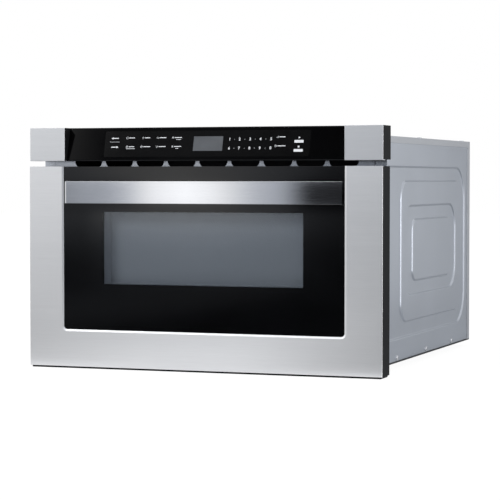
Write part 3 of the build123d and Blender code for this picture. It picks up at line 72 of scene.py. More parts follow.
# ---------------- the camera
# The appliance is photographed from the right, almost level, through a long lens that keeps its
# upright edges upright.
LENS = 139.9             # millimetres
EYE = Vector((1.1426, -3.2315, 0.3111))
TURNED = math.radians(20.067)    # to the left of straight ahead
TIPPED = math.radians(2.091)     # below level
ROLLED = math.radians(0.022)
sight = Vector((-math.sin(TURNED) * math.cos(TIPPED), math.cos(TURNED) * math.cos(TIPPED),
                -math.sin(TIPPED)))

camera = bpy.data.objects.new("camera", bpy.data.cameras.new("camera"))
scene.collection.objects.link(camera)
camera.data.lens = LENS
camera.location = EYE
camera.rotation_mode = "QUATERNION"
camera.rotation_quaternion = (sight.to_track_quat("-Z", "Y").to_matrix()
                              @ Matrix.Rotation(ROLLED, 3, "Z")).to_quaternion()
scene.camera = camera


# ---------------- the white room
# White walls all round, which light the appliance softly from every side. The camera, mirrors and
# clear glass see them as plain white.
ROOM_LIGHT = 0.60        # what the walls give to a matt surface, where white is 1
WHITE = (1.0, 1.0, 1.0, 1.0)


class Strand:
    """One number, colour or direction on its way from node to node."""

    def __init__(self, recipe, socket):
        self.recipe, self.socket = recipe, socket

    def math(self, operation, *parts):
        return self.recipe.node("ShaderNodeMath", {"operation": operation}, dict(enumerate(parts)))

    def __add__(self, other):
        return self.math("ADD", self, other)

    def __sub__(self, other):
        return self.math("SUBTRACT", self, other)

    def __rsub__(self, other):
        return self.math("SUBTRACT", other, self)

    def __mul__(self, other):
        return self.math("MULTIPLY", self, other)

    def __truediv__(self, other):
        return self.math("DIVIDE", self, other)

    def __abs__(self):
        return self.math("ABSOLUTE", self)

    def __gt__(self, other):
        return self.math("GREATER_THAN", self, other)

    def __lt__(self, other):
        return self.math("LESS_THAN", self, other)

    __radd__ = __add__
    __rmul__ = __mul__

    def capped(self):
        """Kept between 0 and 1."""
        return self.math("MINIMUM", self.math("MAXIMUM", self, 0.0), 1.0)

    def other(self, name):
        """Another output of the node that this one leaves."""
        return Strand(self.recipe, self.socket.node.outputs[name])


class Recipe:
    """The nodes of one finish, written as expressions."""

    def __init__(self, owner):
        owner.use_nodes = True
        self.owner = owner
        self.tree = owner.node_tree
        self.tree.nodes.clear()

    def node(self, kind, settings=None, sockets=None, out=0):
        """Adds a node of a kind, and gives one of its outputs."""
        made = self.tree.nodes.new(kind)
        for key, value in (settings or {}).items():
            if key == "stops":
                stops = made.color_ramp.elements
                stops.remove(stops[1])
                stops[0].position, stops[0].color = value[0]
                for position, colour in value[1:]:
                    stops.new(position).color = colour
            else:
                setattr(made, key, value)
        for key, value in (sockets or {}).items():
            if isinstance(value, Strand):
                self.tree.links.new(value.socket, made.inputs[key])
            else:
                made.inputs[key].default_value = value
        return Strand(self, made.outputs[out]) if made.outputs else made

    def either(self, share, first, second):
        """The first surface where share is 0, the second where it is 1."""
        return self.node("ShaderNodeMixShader", sockets={0: share, 1: first, 2: second})

    def closed(self, surface):
        """Ends the recipe of a material with its surface."""
        self.node("ShaderNodeOutputMaterial", sockets={"Surface": surface})
        return self.owner


def white_to_lens(recipe):
    """1 where the camera, a mirror or clear glass looks, 0 for the light that falls on things."""
    path = recipe.node("ShaderNodeLightPath", out="Is Camera Ray")
    return (path + path.other("Is Glossy Ray") + path.other("Is Transmission Ray")).capped()


room = Recipe(bpy.data.worlds.new("white room"))
walls = room.node("ShaderNodeBackground", sockets={
    "Color": WHITE, "Strength": ROOM_LIGHT + (1.0 - ROOM_LIGHT) * white_to_lens(room)})
room.node("ShaderNodeOutputWorld", sockets={"Surface": walls})
scene.world = room.owner


# ---------------- the soft boxes
# Lamps behind white cloth: a big one in front on the left, a tall one on the right and a weak one
# at the back. Each has its place, what it points at, its width and height, and its watts.
SOFT_BOXES = {
    "front_box": ((-1.3, -3.3, 2.4), (0.0, -0.3, 0.15), (2.6, 1.8), 60.0),
    "side_box": ((2.6, -1.25, 0.75), (0.28, 0.1, 0.2), (0.5, 1.5), 16.0),
    "rear_box": ((-0.6, 3.2, 2.4), (0.0, 0.2, 0.2), (2.4, 1.6), 22.0),
}

for box_name, (box_at, box_aim, box_size, box_watts) in SOFT_BOXES.items():
    cloth = bpy.data.lights.new(box_name, "AREA")
    cloth.shape = "RECTANGLE"
    cloth.size, cloth.size_y = box_size
    cloth.energy = box_watts
    soft_box = bpy.data.objects.new(box_name, cloth)
    scene.collection.objects.link(soft_box)
    soft_box.location = box_at
    soft_box.rotation_mode = "QUATERNION"
    soft_box.rotation_quaternion = (Vector(box_aim) - Vector(box_at)).to_track_quat("-Z", "Y")


# ---------------- the paper floor
# A round sheet of white paper that runs out of sight, so that no horizon shows. It keeps a trace of
# the appliance's shadow.
PAPER_GLOW = 0.90        # share of its white that a shadow can't take away
PAPER_SEEN = 1.06        # just over white
PAPER_RADIUS = 14.0
PAPER_FACETS = 64
LINEAR_TO = 10           # the renderer's curve is a straight line for the darkest colours
LINEAR_BY = 3294.6
OUTLINE_ANGLE = 30.0     # edges that bend by more degrees stay sharp


def lit(r, g, b):
    """A colour named as it shows on a screen, 0 to 255, in the renderer's own numbers."""
    return tuple((c / LINEAR_BY if c <= LINEAR_TO else ((c / 255 + 0.055) / 1.055) ** 2.4)
                 for c in (r, g, b)) + (1.0,)


def new_object(name, bm, finish, smooth=OUTLINE_ANGLE):
    """Turns a drawn shape into an object with one finish; flat all over where smooth is 0."""
    mesh = bpy.data.meshes.new(name)
    bm.to_mesh(mesh)
    bm.free()
    mesh.materials.append(finish)
    if smooth:
        mesh.shade_smooth()
        mesh.set_sharp_from_angle(angle=math.radians(smooth))
    else:
        mesh.shade_flat()
    made = bpy.data.objects.new(name, mesh)
    scene.collection.objects.link(made)
    even = made.modifiers.new("flat faces stay flat", "WEIGHTED_NORMAL")
    even.keep_sharp = True
    return made


paper = Recipe(bpy.data.materials.new("white paper"))
paper.closed(paper.either(
    PAPER_GLOW * white_to_lens(paper),
    paper.node("ShaderNodeBsdfDiffuse", sockets={"Color": lit(246, 246, 246)}),
    paper.node("ShaderNodeEmission", sockets={"Color": WHITE, "Strength": PAPER_SEEN})))
floor_bm = bmesh.new()
bmesh.ops.create_circle(floor_bm, cap_ends=True, segments=PAPER_FACETS, radius=PAPER_RADIUS)
new_object("paper_floor", floor_bm, paper.owner)


# ---------------- the graded card
# A card that only polished things see. It lies on the floor before the appliance and stands up
# between it and the camera. The trim strip and the black glass mirror its bright and dark bands.
CARD_Y = -2.4            # where it stands, between the camera and the appliance
CARD_X = (-1.7, 1.1)
CARD_TOP = 0.46
CARD_REACH = -0.76       # its foot comes this near
CARD_LIFT = 0.002        # over the paper
CARD_HUE = (0.95, 1.0, 1.09, 1.0)
CARD_EDGES = (           # axis, place and width of the edges over which it fades in
    ("x", CARD_X[0], 0.25), ("x", CARD_X[1], -0.2), ("z", CARD_TOP, -0.06), ("y", CARD_REACH, -0.14))
NEUTRAL = (0.5, 1.2)     # from the first brightness to the second a card loses its blue
BRIGHTEST = 2.0          # a ramp's white stands for this brightness
STRIP_Z = (0.234, 0.308)     # the part of its height that the trim strip mirrors
STRIP_EDGES = (0.01, 0.006)
STRIP_ROW = (            # brightness from left to right, as width and tone
    (-1.70, 2.00), (-1.32, 1.50), (-1.24, 0.36), (-1.17, 0.49), (-1.10, 0.52), (-1.04, 0.74),
    (-0.96, 1.36), (-0.86, 1.62), (-0.78, 1.42), (-0.66, 0.76), (-0.58, 0.56), (-0.51, 0.02),
    (0.70, 0.0), (1.10, 0.0))
HIGH_GLASS_ROW = (       # what the glass above the strip mirrors
    (-1.70, 2.00), (-1.32, 1.50), (-1.24, 0.58), (-1.04, 1.15), (-0.89, 1.32), (-0.71, 0.95),
    (-0.53, 0.50), (-0.43, 0.18), (0.70, 0.05), (1.10, 0.05))
LOW_GLASS_ROW = (        # what the glass below the strip and the window mirror
    (-1.70, 1.60), (-1.32, 1.20), (-1.24, 0.48), (-1.166, 0.50), (-1.12, 0.95), (-1.03, 1.14),
    (-0.83, 1.29), (-0.70, 1.10), (-0.565, 0.75), (-0.52, 0.40), (-0.462, 0.25), (-0.36, 0.10),
    (0.70, 0.03), (1.10, 0.03))
LOW_FADE = (             # how the low part gets darker downwards, as height and share
    (0.0, 0.13), (0.05, 0.17), (0.112, 0.28), (0.16, 0.62), (0.198, 1.0), (0.217, 1.15),
    (0.223, 0.6), (0.24, 0.6))
MIX_FIRST = 6            # the colour sockets of a Mix node
MIX_SECOND = 7
MIX_COLOUR = 2


def rise(value, first, last):
    """How far value has come from first to last, as 0 to 1."""
    return ((value - first) / (last - first)).capped()


def faded(value, edge, width):
    """0 at an edge and 1 a width further on; the width is negative where it lies the other way."""
    return rise(value, edge, edge + width)


def tones(recipe, value, stops):
    """A brightness that changes along a length, from stops of length and brightness."""
    first, last = stops[0][0], stops[-1][0]
    greys = [((at - first) / (last - first), (tone / BRIGHTEST,) * 3 + (1.0,)) for at, tone in stops]
    return BRIGHTEST * recipe.node("ShaderNodeValToRGB", {"stops": greys},
                                   {"Fac": rise(value, first, last)})


class Card(Recipe):
    """A card that mirrors see, and neither the camera nor the light that falls on things."""

    def __init__(self, name):
        super().__init__(bpy.data.materials.new(name))
        spot = self.node("ShaderNodeSeparateXYZ", sockets={
            0: self.node("ShaderNodeTexCoord", out="Object")})
        self.x, self.y, self.z = spot, spot.other("Y"), spot.other("Z")

    def inside(self, edges):
        """1 on the card, and less over each edge: an axis, a place and a width."""
        shape, *others = [faded(getattr(self, axis), place, width) for axis, place, width in edges]
        for other in others:
            shape = shape * other
        return shape

    def toned(self, tone, hue):
        """The card's light: a tone of a pale hue, which gets white where it is bright."""
        cast = self.node("ShaderNodeMix", {"data_type": "RGBA"},
                         {0: rise(tone, *NEUTRAL), MIX_FIRST: hue, MIX_SECOND: WHITE},
                         out=MIX_COLOUR)
        colour = self.node("ShaderNodeMix", {"data_type": "RGBA", "blend_type": "MULTIPLY"},
                           {0: 1.0, MIX_FIRST: cast, MIX_SECOND: tone}, out=MIX_COLOUR)
        return self.node("ShaderNodeEmission", sockets={"Color": colour, "Strength": 1.0})

    def hang(self, bm, shape, light):
        """Puts the card up; shape is 1 on it and 0 off it."""
        self.closed(self.either(shape, self.node("ShaderNodeBsdfTransparent"), light))
        made = new_object(self.owner.name.replace(" ", "_"), bm, self.owner)
        made.visible_camera = made.visible_diffuse = made.visible_transmission = False
        made.visible_shadow = made.visible_volume_scatter = False


def folded_card(across, foot, *folds):
    """A card whose first edge lies at a depth and height, and which goes on by each fold."""
    bm = bmesh.new()
    edge = bm.edges.new([bm.verts.new((x, *foot)) for x in across])
    for along, up in folds:
        grown = bmesh.ops.extrude_edge_only(bm, edges=[edge])["geom"]
        edge = [part for part in grown if isinstance(part, bmesh.types.BMEdge)][0]
        bmesh.ops.translate(bm, verts=edge.verts, vec=(0, along, up))
    return bm


graded = Card("graded card")
on_strip = (rise(graded.z, STRIP_Z[0] - STRIP_EDGES[0], STRIP_Z[0])
            * rise(graded.z, STRIP_Z[1] + STRIP_EDGES[1], STRIP_Z[1]))
over_strip = faded(graded.z, STRIP_Z[1], STRIP_EDGES[1])
under_strip = faded(graded.z, STRIP_Z[0], -STRIP_EDGES[0])
graded.hang(
    folded_card(CARD_X, (CARD_REACH, CARD_LIFT), (CARD_Y - CARD_REACH, 0), (0, CARD_TOP)),
    graded.inside(CARD_EDGES),
    graded.toned(
        tones(graded, graded.x, HIGH_GLASS_ROW) * over_strip
        + tones(graded, graded.x, STRIP_ROW) * on_strip
        + tones(graded, graded.x, LOW_GLASS_ROW) * tones(graded, graded.z, LOW_FADE) * under_strip,
        CARD_HUE))


# ---------------- the other cards
# More cards of the same kind: a high and a dim one over the camera keep the leaning panel black and
# the brushed steel grey, one behind and a bright one on the right model the side panel's grooves,
# and a near one on the floor gives the steel's foot its bright middle.
DIM_HUE = (0.90, 1.0, 1.14, 1.0)
REAR_HUE = (0.97, 1.0, 1.05, 1.0)
NEAR_LIFT = 0.003        # the near card lies on the graded card's foot
TONED_CARDS = {          # width, foot, folds, edges, hue, and brightness from left to right
    "high card": ((-1.6, -0.2), (CARD_Y, 1.0), [(0, 1.1)],
                  (("x", -1.6, 0.3), ("z", 1.0, 0.1)), CARD_HUE,
                  ((-1.6, 0.20), (-1.13, 0.15), (-1.07, 0.33), (-0.85, 0.20), (-0.66, 0.04),
                   (-0.58, 0.0), (-0.2, 0.0))),
    "dim card": ((-0.9, 2.6), (-2.5, 0.42), [(0, 1.98)],
                 (("x", -0.9, 0.3), ("x", 2.6, -0.6), ("z", 2.4, -0.5)), DIM_HUE,
                 ((-0.9, 1.0), (-0.45, 0.72), (0.1, 0.52), (2.6, 0.48))),
    "rear card": ((0.281, 2.6), (-0.36, CARD_LIFT), [(2.06, 0), (0, 1.7)],
                  (("x", 2.6, -0.5), ("z", 1.7, -0.4), ("y", -0.36, 0.3)), REAR_HUE,
                  ((0.281, 0.28), (0.34, 0.56), (0.48, 0.42), (0.60, 0.26), (0.84, 0.62),
                   (1.10, 1.15), (2.6, 1.25))),
    "near card": ((-1.0, 0.9), (-0.36, NEAR_LIFT), [(-0.59, 0)],
                  (("x", -1.0, 0.3), ("y", -0.95, 0.2)), WHITE,
                  ((-1.0, 0.36), (-0.50, 0.20), (-0.32, 0.52), (-0.12, 1.0), (0.04, 1.0),
                   (0.20, 0.50), (0.36, 0.16), (0.9, 0.16))),
}
BRIGHT_X = 2.6           # it stands to the right, along the appliance
BRIGHT_Y = (-2.0, -0.6)
BRIGHT_TOP = 1.6
BRIGHT_EDGES = (("y", BRIGHT_Y[0], 0.4), ("y", BRIGHT_Y[1], -0.4), ("z", BRIGHT_TOP, -0.3))
BRIGHT_LIGHT = 5.7

for card_name, (across, foot, card_folds, edges, hue, row) in TONED_CARDS.items():
    toned_card = Card(card_name)
    toned_card.hang(folded_card(across, foot, *card_folds), toned_card.inside(edges),
                    toned_card.toned(tones(toned_card, toned_card.x, row), hue))
bright = Card("bright card")
bright_bm = folded_card(BRIGHT_Y, (-BRIGHT_X, 0), (0, BRIGHT_TOP))
bmesh.ops.rotate(bright_bm, verts=bright_bm.verts, matrix=Matrix.Rotation(math.pi / 2, 3, "Z"))
bright.hang(bright_bm, bright.inside(BRIGHT_EDGES), bright.node(
    "ShaderNodeEmission", sockets={"Color": WHITE, "Strength": BRIGHT_LIGHT}))


# ---------------- base plate
# The cabinet's floor of 2 mm steel sheet, its long edges folded up inside the side panels. Its near
# black colour is painted shade, so that its edge shows as the shaded dark line under them.
SPANGLE = 2.2            # sizes in millimetres: the crystals of the coating
ROLLING = (90.0, 140.0, 1.2)     # the trace that the rolls left
CAST = 120.0             # broad patches
SKIN_GRAIN = 0.8


class Finish(Recipe):
    """A finish of one of the appliance's pieces, with patterns that lie still in it."""

    def __init__(self, name):
        super().__init__(bpy.data.materials.new(name))
        self.place = self.node("ShaderNodeTexCoord", out="Object")
        axes = self.node("ShaderNodeSeparateXYZ", sockets={0: self.place})
        self.x, self.y, self.z = axes, axes.other("Y"), axes.other("Z")

    def stretched(self, pitch):
        """The piece's own coordinates, counted in steps of so many millimetres each way."""
        return self.node("ShaderNodeMapping", {"vector_type": "POINT"},
                         {"Vector": self.place, "Scale": [1000.0 / step for step in pitch]})

    def cloud(self, pitch, detail=2.0, rough=0.5):
        """Soft random patches between 0 and 1, of a size given in millimetres."""
        return self.node("ShaderNodeTexNoise", {"noise_dimensions": "3D"}, {
            "Vector": self.stretched(pitch), "Scale": 1.0, "Detail": detail, "Roughness": rough})

    def grains(self, size, feature="F1", out="Distance"):
        """Cells of a size given in millimetres."""
        return self.node("ShaderNodeTexVoronoi", {"feature": feature}, {
            "Vector": self.stretched((size,) * 3), "Scale": 1.0}, out=out)

    def blend(self, share, first, second):
        """From the first colour to the second as share goes from 0 to 1."""
        return self.node("ShaderNodeMix", {"data_type": "RGBA", "clamp_factor": True},
                         {0: share, MIX_FIRST: first, MIX_SECOND: second}, out=MIX_COLOUR)

    def relief(self, height, depth, strength):
        """Bumps of so many millimetres."""
        return self.node("ShaderNodeBump", sockets={
            "Height": height, "Distance": depth / 1000.0, "Strength": strength})

    def coat(self, **sockets):
        """Ends the recipe with a surface shader; its sockets are named with _ for a space."""
        return self.closed(self.node("ShaderNodeBsdfPrincipled", sockets={
            name.replace("_", " "): value for name, value in sockets.items()}))


def coated_sheet(name, darker, lighter, dull=0.36):
    """Steel with a metal coating: fine spangle, a trace of rolling, a dull sheen."""
    skin = Finish(name)
    spangle = skin.grains(SPANGLE, out="Color")
    rolling = skin.cloud(ROLLING, 3.0)
    cast = skin.cloud((CAST,) * 3, 1.0)
    return skin.coat(
        Base_Color=skin.blend(0.22 * spangle + 0.28 * rolling + 0.5 * cast, darker, lighter),
        Metallic=0.85,
        Roughness=dull + 0.1 * rolling + 0.05 * spangle,
        Normal=skin.relief(skin.cloud((SKIN_GRAIN,) * 3), 0.02, 0.25))


def dressed(finish, *nodes):
    """Gives solids that show as they are their finish."""
    for node in nodes:
        for slot in frame["nodes"][node].material_slots:
            slot.material = finish


# near black: painted shade for the dark line along the cabinet's foot
dressed(coated_sheet("base_sheet", lit(24, 25, 27), lit(38, 39, 42)), "base_plate")


# ---------------- side panels
# Steel sheet of 1 mm with an aluminium-zinc coating, pressed with two nested grooves that keep it
# from drumming. Ears folded in from its top and rear edge take the cover's and the back's screws,
# and three screws hold its foot to the base plate.
FRONT_Y = solid_low.y
SIDE_FACE = 0.278
SIDE_D = (0.0472, 0.6682)    # depths, counted from the appliance's front
SIDE_Z = (0.013, 0.3802)
SIDE_SHEET = 0.001
GROOVE_DEPTH = 0.0025
GROOVE_WALL = 0.0022
GROOVE_BEND = 0.0011
GROOVES = (              # each loop's depths, heights and corner radius, from outside inwards
    ((0.066, 0.633), (0.048, 0.3325), 0.060, (0.2005, 0.598), (0.075, 0.3065), 0.032),
    ((0.216, 0.5646), (0.116, 0.2675), 0.045, (0.272, 0.525), (0.141, 0.242), 0.018),
)
SIDE_SCREWS_D = (0.173, 0.3577, 0.535)
SIDE_SCREW_Z = 0.018
COVER_SCREWS_D = (0.342, 0.642)
BACK_SCREWS_Z = (0.060, 0.345)
SCREW_IN = 0.009         # from the cabinet's side to the screws of its cover and back
HOLE_R = 0.0021
HOLE_FACETS = 12
EAR = 0.014
BEND_STEPS = 3
SIDE_BENDS = 40.0        # degrees

side_skin = coated_sheet("side_sheet", lit(161, 167, 175), lit(182, 187, 196), 0.26)


def level_at(z):
    """The drawing plane that faces up at a height."""
    return Matrix(((1, 0, 0, 0), (0, 1, 0, FRONT_Y), (0, 0, 1, z), (0, 0, 0, 1)))


def rear_at(d):
    """The drawing plane of width and height at a depth; what is drawn high lies deep."""
    return Matrix(((1, 0, 0, 0), (0, 0, 1, FRONT_Y + d), (0, 1, 0, 0), (0, 0, 0, 1)))


def right_at(x):
    """The drawing plane of depth and height that faces right."""
    return Matrix(((0, 0, 1, x), (1, 0, 0, FRONT_Y), (0, 1, 0, 0), (0, 0, 0, 1)))


def wider(limits, by):
    """Two limits moved apart, or together where by is less than 0."""
    return (limits[0] - by, limits[1] + by)


def square_loop(bm, across, up, height=0.0):
    """A rectangle of four edges in a drawing plane."""
    corners = [bm.verts.new((x, y, height)) for x, y in
               ((across[0], up[0]), (across[1], up[0]), (across[1], up[1]), (across[0], up[1]))]
    return [bm.edges.new((corners[n], corners[(n + 1) % 4])) for n in range(4)]


def rounded_loop(bm, across, up, radius, height=0.0, steps=10):
    """An edge loop in a drawing plane: a circle whose quarters are moved apart to straight sides."""
    half_step = math.pi / (4 * steps)
    corners = bmesh.ops.create_circle(bm, segments=4 * steps, radius=radius / math.cos(half_step))
    corners = corners["verts"]
    bmesh.ops.rotate(bm, verts=corners, cent=(0, 0, 0), matrix=Matrix.Rotation(half_step, 3, "Z"))
    quarters = [(right, top, [v for v in corners if (v.co.x > 0) == right and (v.co.y > 0) == top])
                for right in (False, True) for top in (False, True)]
    for right, top, quarter in quarters:
        middle = (across[1] - radius if right else across[0] + radius,
                  up[1] - radius if top else up[0] + radius, height)
        bmesh.ops.translate(bm, verts=quarter, vec=middle)
    return list({edge for v in corners for edge in v.link_edges})


def screw_hole(bm, across, up):
    """The edge of a hole for a sheet-metal screw."""
    rim = bmesh.ops.create_circle(bm, segments=HOLE_FACETS, radius=HOLE_R)["verts"]
    bmesh.ops.translate(bm, verts=rim, vec=(across, up, 0))
    return list({edge for v in rim for edge in v.link_edges})


def flat_between(bm, *loops):
    """Fills the flat sheet between an outer loop and the loops inside it."""
    bmesh.ops.triangle_fill(bm, use_beauty=True, use_dissolve=False,
                            edges=[edge for loop in loops for edge in loop])


def bridged(bm, *loops):
    """Joins each loop to the next with a wall."""
    for one, following in zip(loops, loops[1:]):
        bmesh.ops.bridge_loops(bm, edges=one + following)


def ear(bm, up, plane):
    """A tab folded in from the panel's edge, with the hole that its screw bites in."""
    edge = SIDE_FACE - SIDE_SHEET
    rim = square_loop(bm, (edge - EAR, edge), wider((up, up), EAR / 2))
    hole = screw_hole(bm, SIDE_FACE - SCREW_IN, up)
    flat_between(bm, rim, hole)
    bmesh.ops.transform(bm, matrix=plane, verts=list({v for part in rim + hole for v in part.verts}))


def facing(bm, axis):
    """Makes the faces of a drawn surface agree, and look on the whole along an axis."""
    bmesh.ops.recalc_face_normals(bm, faces=bm.faces)
    if sum(face.normal[axis] * face.calc_area() for face in bm.faces) < 0:
        bmesh.ops.reverse_faces(bm, faces=bm.faces)


def of_sheet(piece, thickness):
    """Gives a drawn surface the thickness of its sheet, inwards."""
    sheet = piece.modifiers.new("sheet thickness", "SOLIDIFY")
    sheet.thickness = thickness
    sheet.offset = -1.0
    piece.modifiers.move(1, 0)


def side_panel(name, side):
    """Pressed flat first, in depth and height, then stood up on its side of the cabinet."""
    bm = bmesh.new()
    edge_of_sheet = square_loop(bm, SIDE_D, SIDE_Z)
    holes = [screw_hole(bm, d, SIDE_SCREW_Z) for d in SIDE_SCREWS_D]
    bends = []
    for out_d, out_z, out_r, in_d, in_z, in_r in GROOVES:
        groove = [
            rounded_loop(bm, out_d, out_z, out_r),
            rounded_loop(bm, wider(out_d, -GROOVE_WALL), wider(out_z, -GROOVE_WALL),
                         out_r - GROOVE_WALL, -GROOVE_DEPTH),
            rounded_loop(bm, wider(in_d, GROOVE_WALL), wider(in_z, GROOVE_WALL),
                         in_r + GROOVE_WALL, -GROOVE_DEPTH),
            rounded_loop(bm, in_d, in_z, in_r)]
        if bends:
            bridged(bm, bends[-1], groove[0])
        else:
            flat_between(bm, edge_of_sheet, groove[0], *holes)
        bridged(bm, *groove)
        bends += groove
    bmesh.ops.edgeloop_fill(bm, edges=bends[-1])
    bmesh.ops.bevel(bm, geom=[edge for loop in bends for edge in loop], offset=GROOVE_BEND,
                    offset_type="OFFSET", affect="EDGES", segments=BEND_STEPS, profile=0.5,
                    material=-1)
    bmesh.ops.transform(bm, matrix=right_at(SIDE_FACE), verts=bm.verts)
    facing(bm, 0)
    for d in COVER_SCREWS_D:
        ear(bm, d, level_at(SIDE_Z[1]))
    for z in BACK_SCREWS_Z:
        ear(bm, z, rear_at(SIDE_D[1]))
    if side < 0:
        bmesh.ops.scale(bm, vec=(-1, 1, 1), verts=bm.verts)
        bmesh.ops.reverse_faces(bm, faces=bm.faces)
    panel = new_object(name, bm, side_skin, SIDE_BENDS)
    of_sheet(panel, SIDE_SHEET)
    return panel


for panel_name, panel_side in (("right_side_pressed", 1), ("left_side_pressed", -1)):
    pressed = side_panel(panel_name, panel_side)
    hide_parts(panel_name.replace("pressed", "panel"))
    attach(pressed, "cabinet")


# ---------------- oven cavity
# A box of 1 mm steel sheet with a light grey coating baked on. It is open in front, where its mouth
# meets the opening of the front plate.
ENAMEL_FLECK = 1.6       # millimetres
FLECK_SHARE = 0.16
ENAMEL_PATCH = 60.0

enamel = Finish("cavity_enamel")
flecks = enamel.grains(ENAMEL_FLECK) < FLECK_SHARE
fired = enamel.cloud((ENAMEL_PATCH,) * 3)
cavity_enamel = enamel.coat(
    Base_Color=enamel.blend(0.5 * flecks + 0.3 * fired, lit(196, 197, 196), lit(120, 122, 124)),
    Roughness=0.3 + 0.12 * fired,
    Normal=enamel.relief(enamel.cloud((1.1,) * 3), 0.03, 0.3))
dressed(cavity_enamel, "cavity_liner")


# ---------------- waveguide and its motor
# A folded duct of zinc-plated steel sheet on the cavity's roof. It leads the microwaves to the
# opening over the drawer, where the stirrer's small motor sits on it.
zinc = coated_sheet("zinc_plate", lit(158, 160, 162), lit(190, 192, 194))
dressed(zinc, "waveguide", "stirrer_motor")


# ---------------- magnetron and stirrer
# The magnetron stands under the waveguide's rear end, cooled by a stack of pressed aluminium fins.
# The bent blades that turn under the waveguide's opening are of the same metal.
dressed(coated_sheet("pressed_aluminium", lit(178, 180, 182), lit(206, 208, 210)),
        "magnetron", "stirrer")


# ---------------- stirrer cover
# A shallow dish of pressed mica board, clipped under the blades to keep steam and splashes out of
# the waveguide.
def moulded(name, darker, lighter, roughness=0.42, specular=0.15):
    """Moulded plastic with a fine spark-eroded grain."""
    skin = Finish(name)
    flow = skin.cloud((45.0,) * 3)
    pits = skin.cloud((0.7,) * 3)
    return skin.coat(
        Base_Color=skin.blend(0.6 * flow + 0.4 * pits, darker, lighter),
        Roughness=roughness - 0.05 + 0.1 * flow,
        Normal=skin.relief(pits, 0.03, 0.35), Specular_IOR_Level=specular)


dressed(moulded("mica_cover", lit(176, 168, 150), lit(200, 194, 178), 0.55), "stirrer_cover")


# ---------------- transformer
# A stack of E and I shaped iron sheets, with two coils of enamelled copper wire round the middle
# limb, one above the other.
SHEET_PITCH = 2.0        # millimetres
WIRE_PITCH = 4.0


def banded(skin, direction, pitch, wander):
    """Straight bands across one direction, of a pitch given in millimetres."""
    return skin.node("ShaderNodeTexWave", {"wave_type": "BANDS", "bands_direction": direction},
                     {"Vector": skin.stretched((pitch,) * 3), "Scale": 1.0, "Distortion": wander},
                     out="Fac")


core = Finish("laminated_core")
iron = banded(core, "Y", SHEET_PITCH, 0.4)
dressed(core.coat(
    Base_Color=core.blend(iron, lit(60, 58, 58), lit(96, 94, 92)),
    Metallic=0.4 + 0.2 * iron, Roughness=0.5 + 0.1 * iron,
    Normal=core.relief(iron, 0.1, 0.6)), "transformer_core")
coil = Finish("enamelled_wire")
turns = banded(coil, "Z", WIRE_PITCH, 0.2)
dressed(coil.coat(
    Base_Color=coil.blend(turns, lit(120, 56, 24), lit(196, 108, 52)),
    Metallic=0.5 + 0.3 * turns, Roughness=0.34 + 0.1 * turns,
    Normal=coil.relief(turns, 0.25, 0.8)), "transformer_windings")


# ---------------- capacitor and its clamp
# A drawn aluminium can, held down on the base plate by a strap of zinc-plated steel with a foot
# before and behind.
dressed(coated_sheet("capacitor_can", lit(168, 170, 172), lit(196, 198, 200)), "hv_capacitor")
dressed(zinc, "capacitor_clamp")


# ---------------- cooling fan
# A moulded shroud with a wheel of five pitched blades, pressed on the shaft of a small motor. It
# draws air through the grille in the back panel.
dressed(moulded("fan_plastic", lit(60, 62, 64), lit(76, 78, 80)), "fan_shroud", "fan_wheel")
dressed(zinc, "fan_motor")


# ---------------- exhaust duct
# Thin sheet folded to a flat duct over the cavity's mouth. It leads the cooling air to the slots above
# the drawer. Its dark colour is painted shade, so that the slots show dark inside.
# dark grey: painted shade seen through the vent slots
dressed(coated_sheet("duct_sheet", lit(52, 53, 56), lit(66, 67, 70)), "exhaust_duct")


# ---------------- lamp and thermal cut-outs
# A lamp in a white moulded holder shines through slits in the cavity's left wall, and two bimetal
# discs in plated caps cut the power when the cavity's roof or the magnetron gets too hot.
module_white = moulded("module_white", lit(216, 216, 214), lit(228, 228, 226))
dressed(module_white, "cavity_lamp")
dressed(zinc, "thermal_cutouts")


# ---------------- power board and noise filter
# Circuit boards of glass fibre with green lacquer over their copper tracks. The power board stands
# on posts on the base plate, and the filter's board lies on the cavity's rear wall.
TRACK_PITCH = 3.0        # millimetres
TRACK_SHARE = 0.06

board = Finish("board_green")
tracks = board.grains(TRACK_PITCH, "DISTANCE_TO_EDGE") < TRACK_SHARE
board_green = board.coat(
    Base_Color=board.blend(tracks, lit(24, 74, 44), lit(58, 118, 70)),
    Roughness=0.35 + 0.1 * board.cloud((6.0,) * 3))
dressed(board_green, "power_board", "noise_filter")


# ---------------- rail supports and drive bracket
# Folded from galvanised sheet: a long support under each rail, on the base plate, and the
# upside-down U that holds the pinion and guides the rack.
dressed(coated_sheet("galvanised_sheet", lit(138, 142, 146), lit(176, 180, 184)),
        "rail_supports", "drive_bracket")


# ---------------- telescopic rails
# Three nested steel rails on each side, cold-rolled and zinc-plated. The outer one is riveted to
# its support, the inner one to the drawer, and the middle one slides between them.
dressed(coated_sheet("rail_zinc", lit(150, 154, 158), lit(188, 190, 194)),
        "right_outer_rail", "left_outer_rail", "right_middle_rail", "left_middle_rail",
        "right_inner_rail", "left_inner_rail")


# ---------------- motor drive
# A geared motor in a plated case turns a pinion of natural nylon, which moves the nylon rack under
# the drawer.
dressed(zinc, "drive_motor")
dressed(moulded("gear_nylon", lit(214, 212, 200), lit(232, 230, 220), 0.4), "drive_pinion")
dressed(moulded("rack_nylon", lit(200, 200, 196), lit(222, 222, 218), 0.4), "drive_rack")


# ---------------- hooks and interlock switches
# Two white moulded hooks on the drawer press the levers of black microswitches behind the front
# plate, so that the oven works only when it is shut.
switch_black = moulded("switch_black", lit(30, 30, 32), lit(44, 44, 46))
dressed(moulded("hook_plastic", lit(206, 206, 200), lit(226, 226, 220)), "latch_hooks")
dressed(switch_black, "interlock_switches")


